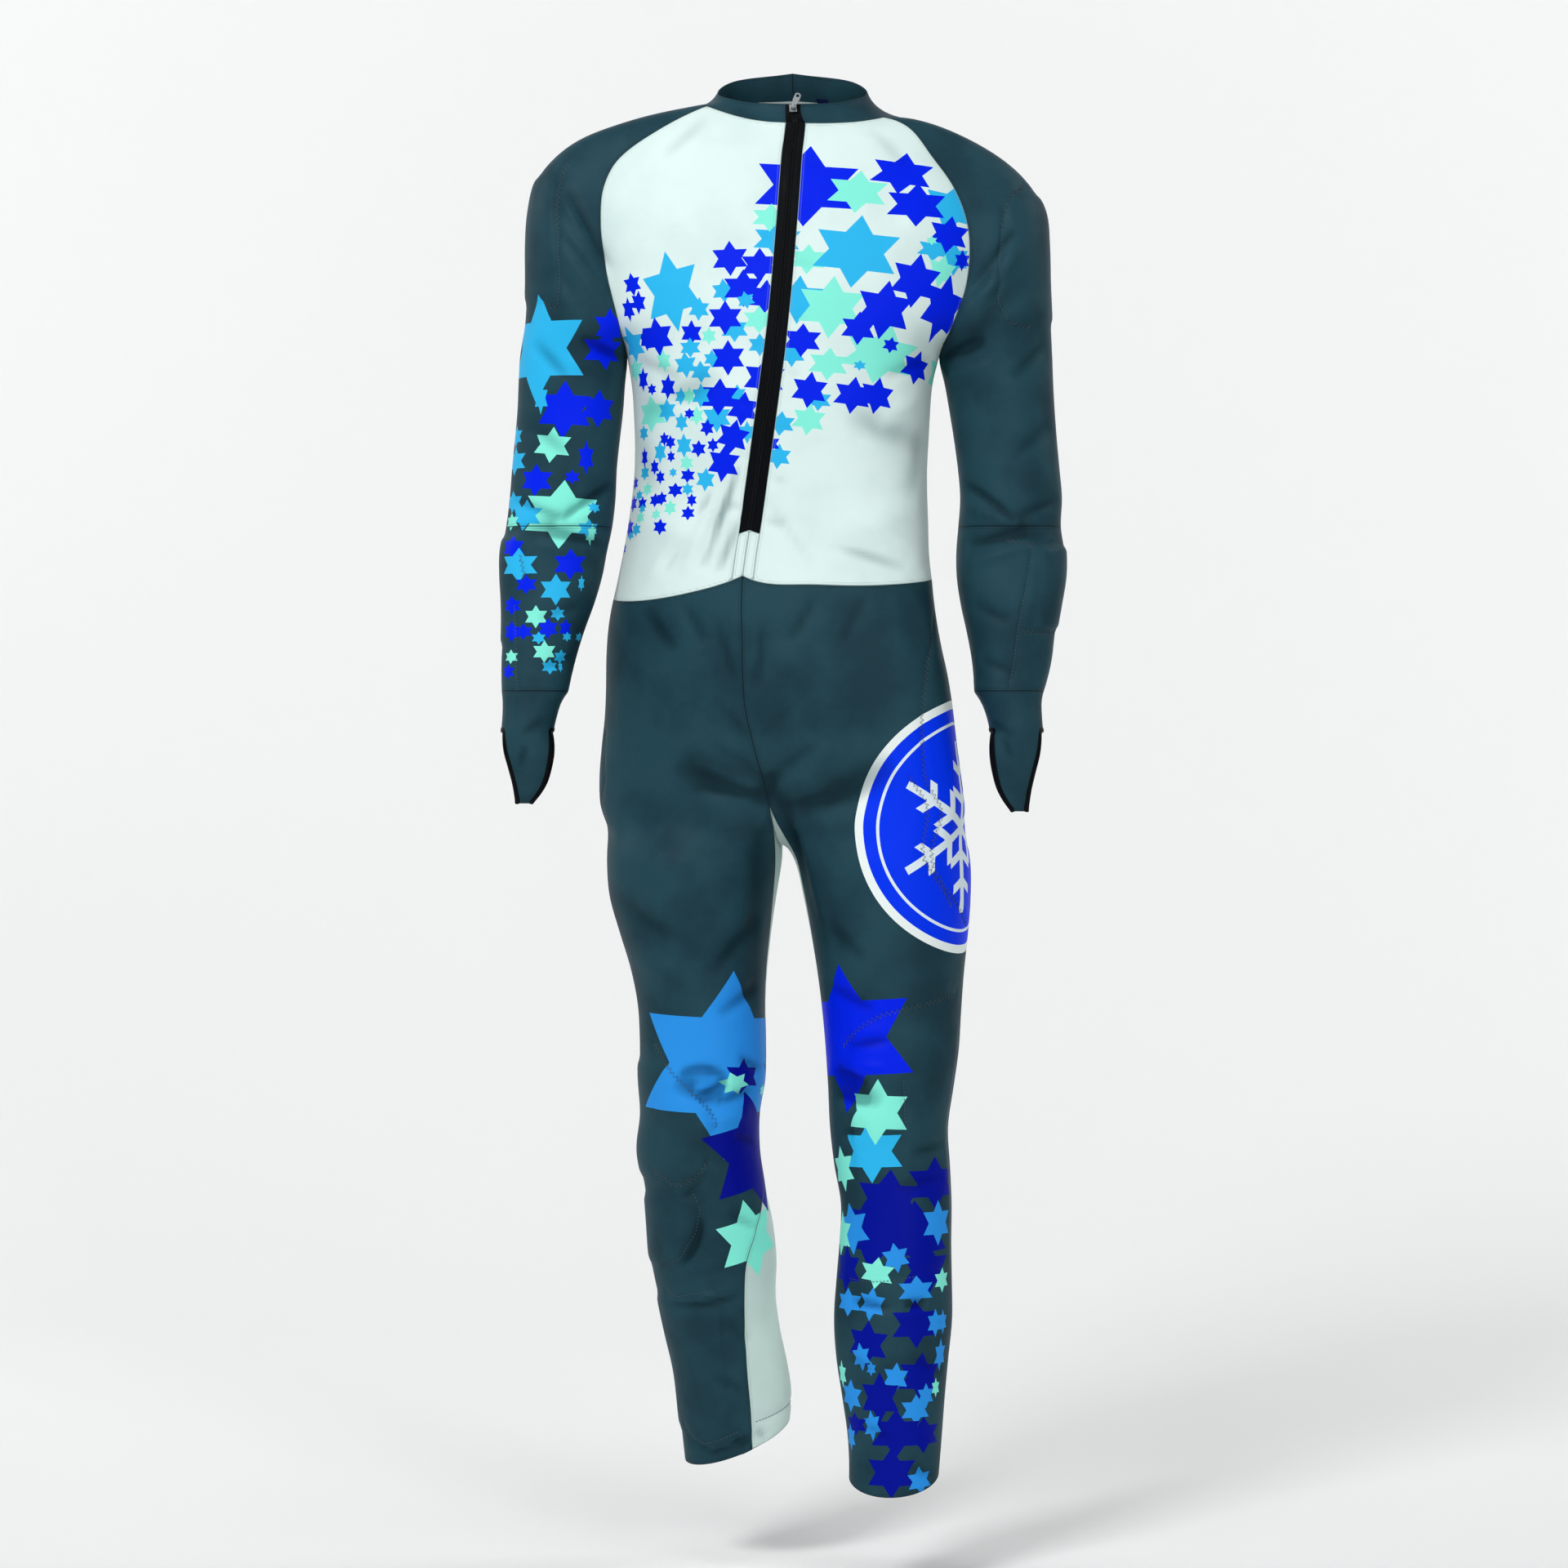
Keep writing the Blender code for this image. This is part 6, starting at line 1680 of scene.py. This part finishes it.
grey = cloth_finish("grey race cloth", *GREY, False, GREY_SEAM)
grey_print = cloth_finish("grey printed race cloth", *GREY, True, GREY_SEAM)
grey_disc = cloth_finish("grey race cloth with a disc", *GREY, True, GREY_SEAM, True)
white_print = cloth_finish("white printed race cloth", *WHITE, True, "93a7a4")
white_plain = cloth_finish("white race cloth", *WHITE, False, "7e9290")
pale_print = cloth_finish("pale printed race cloth", *PALE, True, "7c908d")
zip_cloth = cloth_finish("black zip tape", *ZIP_BLACK, False, "050607")

LOOKS = {}
for hand, trousers, stars in (
    ("right", grey_print, RIGHT_LEG_STARS),
    ("left", grey_disc, LEFT_LEG_STARS),
):
    LOOKS["front_" + hand] = white_print, "printed_white", CHEST_STARS
    LOOKS["leg_front_" + hand] = trousers, "grey_stretch", stars
    LOOKS["leg_back_" + hand] = pale_print, "pale_stretch", stars
    LOOKS["cuff_" + hand] = grey, "grey_stretch", ()
for hand, look, stars in (("right", grey_print, SLEEVE_STARS), ("left", grey, ())):
    LOOKS["sleeve_upper_" + hand] = look, "grey_stretch", stars
    LOOKS["sleeve_lower_" + hand] = look, "grey_stretch", stars
LOOKS["back"] = white_print, "printed_white", CHEST_STARS
LOOKS["collar"] = grey, "grey_stretch", ()
LOOKS["zip_guard"] = white_plain, "printed_white", ()
LOOKS["zip_tape"] = zip_cloth, "zip_coil", ()


def stand_for(piece, node, body="suit"):
    """The piece rides on a body and stands for a CAD node, which is hidden."""
    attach(piece, body)
    if node:
        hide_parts(node)
    return piece


for name, (look, slot, stars) in LOOKS.items():
    panel = cloth.panels[name]
    piece = shell(cloth, name + "_cloth", panel, 0.0, CLOTH, look, stars)
    stand_for(piece, name)
    flat, area = cut_size(cloth, piece, PANELS[name])

# Tape and blank label inside the back of the neck
tape_look = cloth_finish("pale neck tape", "c3cdcc", "b7c2c1", False, "8d9998")
label_look = cloth_finish("dark blue label cloth", "101c4e", "0c1640", False, "0a1030")
NECK_TAPE = [("collar_R", (0, 0.5), (12, 25)), ("collar_L", (0, 0.5), (12, 25))]
NECK_LABEL = [("collar_L", (0, 0.75), (22, 23))]
for name, pieces, depth, look, slot in (
    ("neck_tape", NECK_TAPE, 1.5, tape_look, "neck_tape"),
    ("neck_label", NECK_LABEL, 2.3, label_look, "label"),
):
    panel = cloth.cut(pieces)
    piece = shell(cloth, name + "_cloth", panel, depth, depth + 0.6, look)
    stand_for(piece, name)
    flat, area = cut_size(cloth, piece, pieces, 1.0)

# Foam pads
foam = Finish("grey foam", rough=0.85)
cell = foam.noise(foam.object_place(), 700.0, 2.0)
foam.feed("Base Color", foam.mix(cell, linear("3c4046"), linear("51565d")))
foam.bump(cell, 0.5, 0.0005)
for name, (title, rows, columns) in PAD_PLACES.items():
    share = pad_share(cloth, title, rows, columns)
    panel = cloth.cut([(title, rows, columns)])
    under = CLOTH + PAD_GAP
    low = under + PAD_THICK
    piece = shell(cloth, name + "_foam", panel, under, low, foam.material, share=share)
    stand_for(piece, name)

# Bindings of the hand loops
binding_look = cloth_finish("black binding", "0a0e12", "0e1318", False, "050607")
for key in "RL":
    for title, edge in (("outer", 4), ("inner", 0)):
        name = f"cuff_binding_{title}_{key}"
        piece, length = loop_binding(cloth, key, edge, name + "_cloth", binding_look)
        stand_for(piece, name)

# Zip coil and pad stitching
coil = Finish("black coil", rough=0.5, Specular_IOR_Level=0.2)
coil.feed("Base Color", linear("080b0f"))
piece = zip_teeth(cloth, "zip_coil_teeth", coil.material)
stand_for(piece, None)

thread = Finish("dark thread", rough=0.6)
fibre = thread.noise(thread.object_place(), 1500.0, 2.0)
thread.feed("Base Color", thread.mix(fibre, linear("1c2b33"), linear("4a5b64")))
piece = sewing(cloth, "pad_stitching", thread.material)
stand_for(piece, None)

# The slider and the pull stay, in brushed metal
metal = Finish("bright zip metal", rough=0.28, metallic=1.0)
streak = metal.noise(metal.object_place(), 900.0, 4.0)
metal.feed("Base Color", metal.mix(streak, linear("9aa0a4"), linear("c9ced2")))
metal.feed("Roughness", 0.22 + streak * 0.2)
for name in ("zip_slider", "zip_pull"):
    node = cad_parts[name]
    for place in node.material_slots:
        place.material = metal.material

# Camera: level, in front of the suit, framed by a small upward shift
VIEW_DISTANCE = 5.0
VIEW_HEIGHT = -0.6
SENSOR = 36.0
FRAME_WIDTH = 1.586
FRAME_MIDDLE = (-0.00165, -0.669)
camera_data = bpy.data.cameras.new("front view")
camera_data.sensor_width = SENSOR
camera_data.lens = SENSOR * VIEW_DISTANCE / FRAME_WIDTH
camera_data.shift_y = (FRAME_MIDDLE[1] - VIEW_HEIGHT) / FRAME_WIDTH
camera = placed("front view", camera_data)
camera.location = (FRAME_MIDDLE[0], -VIEW_DISTANCE, VIEW_HEIGHT)
camera.rotation_euler = (math.pi / 2, 0, 0)
bpy.context.scene.camera = camera


# Studio floor in metres: half its width, where it starts to bend up, and the bend's radius
FLOOR = -1.46
FLOOR_HALF = 9.0
BEND_START = 2.0
BEND = 2.5


def studio_floor():
    """A floor that bends up into a wall behind: a flat run, a quarter circle, a straight wall."""
    turn = np.linspace(0, math.pi / 2, 24)
    bend = BEND_START + BEND * np.sin(turn)
    deep = np.concatenate([[-FLOOR_HALF, BEND_START], bend, [BEND_START + BEND]])
    high = np.concatenate([[0.0, 0.0], BEND * (1 - np.cos(turn)), [FLOOR_HALF]]) + FLOOR
    wide = np.linspace(-FLOOR_HALF, FLOOR_HALF, 13)
    places = np.stack(np.broadcast_arrays(wide[None, :], deep[:, None], high[:, None]), axis=-1)
    index = np.arange(places.size // 3).reshape(places.shape[:2])
    look = Finish("pale studio paper", rough=0.9)
    look.feed("Base Color", linear("f4f5f5"))
    places = places.reshape(-1, 3) / MM
    polygons("studio_floor", places, grid_quads(index), look.material)


studio_floor()

# Soft light: place, what it points at, width and height, power
LAMPS = (
    ((-2.0, -3.8, 2.2), (0.0, 0.0, -0.6), 1.2, 1.2, 146.0),
    ((1.9, -4.3, 0.5), (0.0, 0.0, -0.8), 1.2, 1.4, 54.0),
    ((0.0, -1.2, 3.2), (0.0, 0.3, -0.5), 2.0, 1.6, 30.0),
    ((-3.2, 1.2, 1.4), (0.0, 4.5, -0.4), 2.6, 2.0, 71.0),
    ((3.2, 1.2, 1.4), (0.0, 4.5, -0.4), 2.6, 2.0, 71.0),
)
for number, (place, target, width, height, power) in enumerate(LAMPS):
    lamp = bpy.data.lights.new(f"soft box {number}", "AREA")
    lamp.shape = "RECTANGLE"
    lamp.size, lamp.size_y, lamp.energy = width, height, power
    holder = placed(f"soft box {number}", lamp)
    holder.location = place
    aim = np.array(target) - np.array(place)
    holder.rotation_euler = (
        math.acos(-aim[2] / np.linalg.norm(aim)),
        0.0,
        math.atan2(aim[1], aim[0]) - math.pi / 2,
    )

world = bpy.data.worlds.new("studio")
world.use_nodes = True
world.node_tree.nodes["Background"].inputs["Color"].default_value = linear("f6f6f6")
world.node_tree.nodes["Background"].inputs["Strength"].default_value = 0.07
bpy.context.scene.world = world
bpy.context.scene.view_settings.view_transform = "Standard"

bpy.context.view_layer.update()
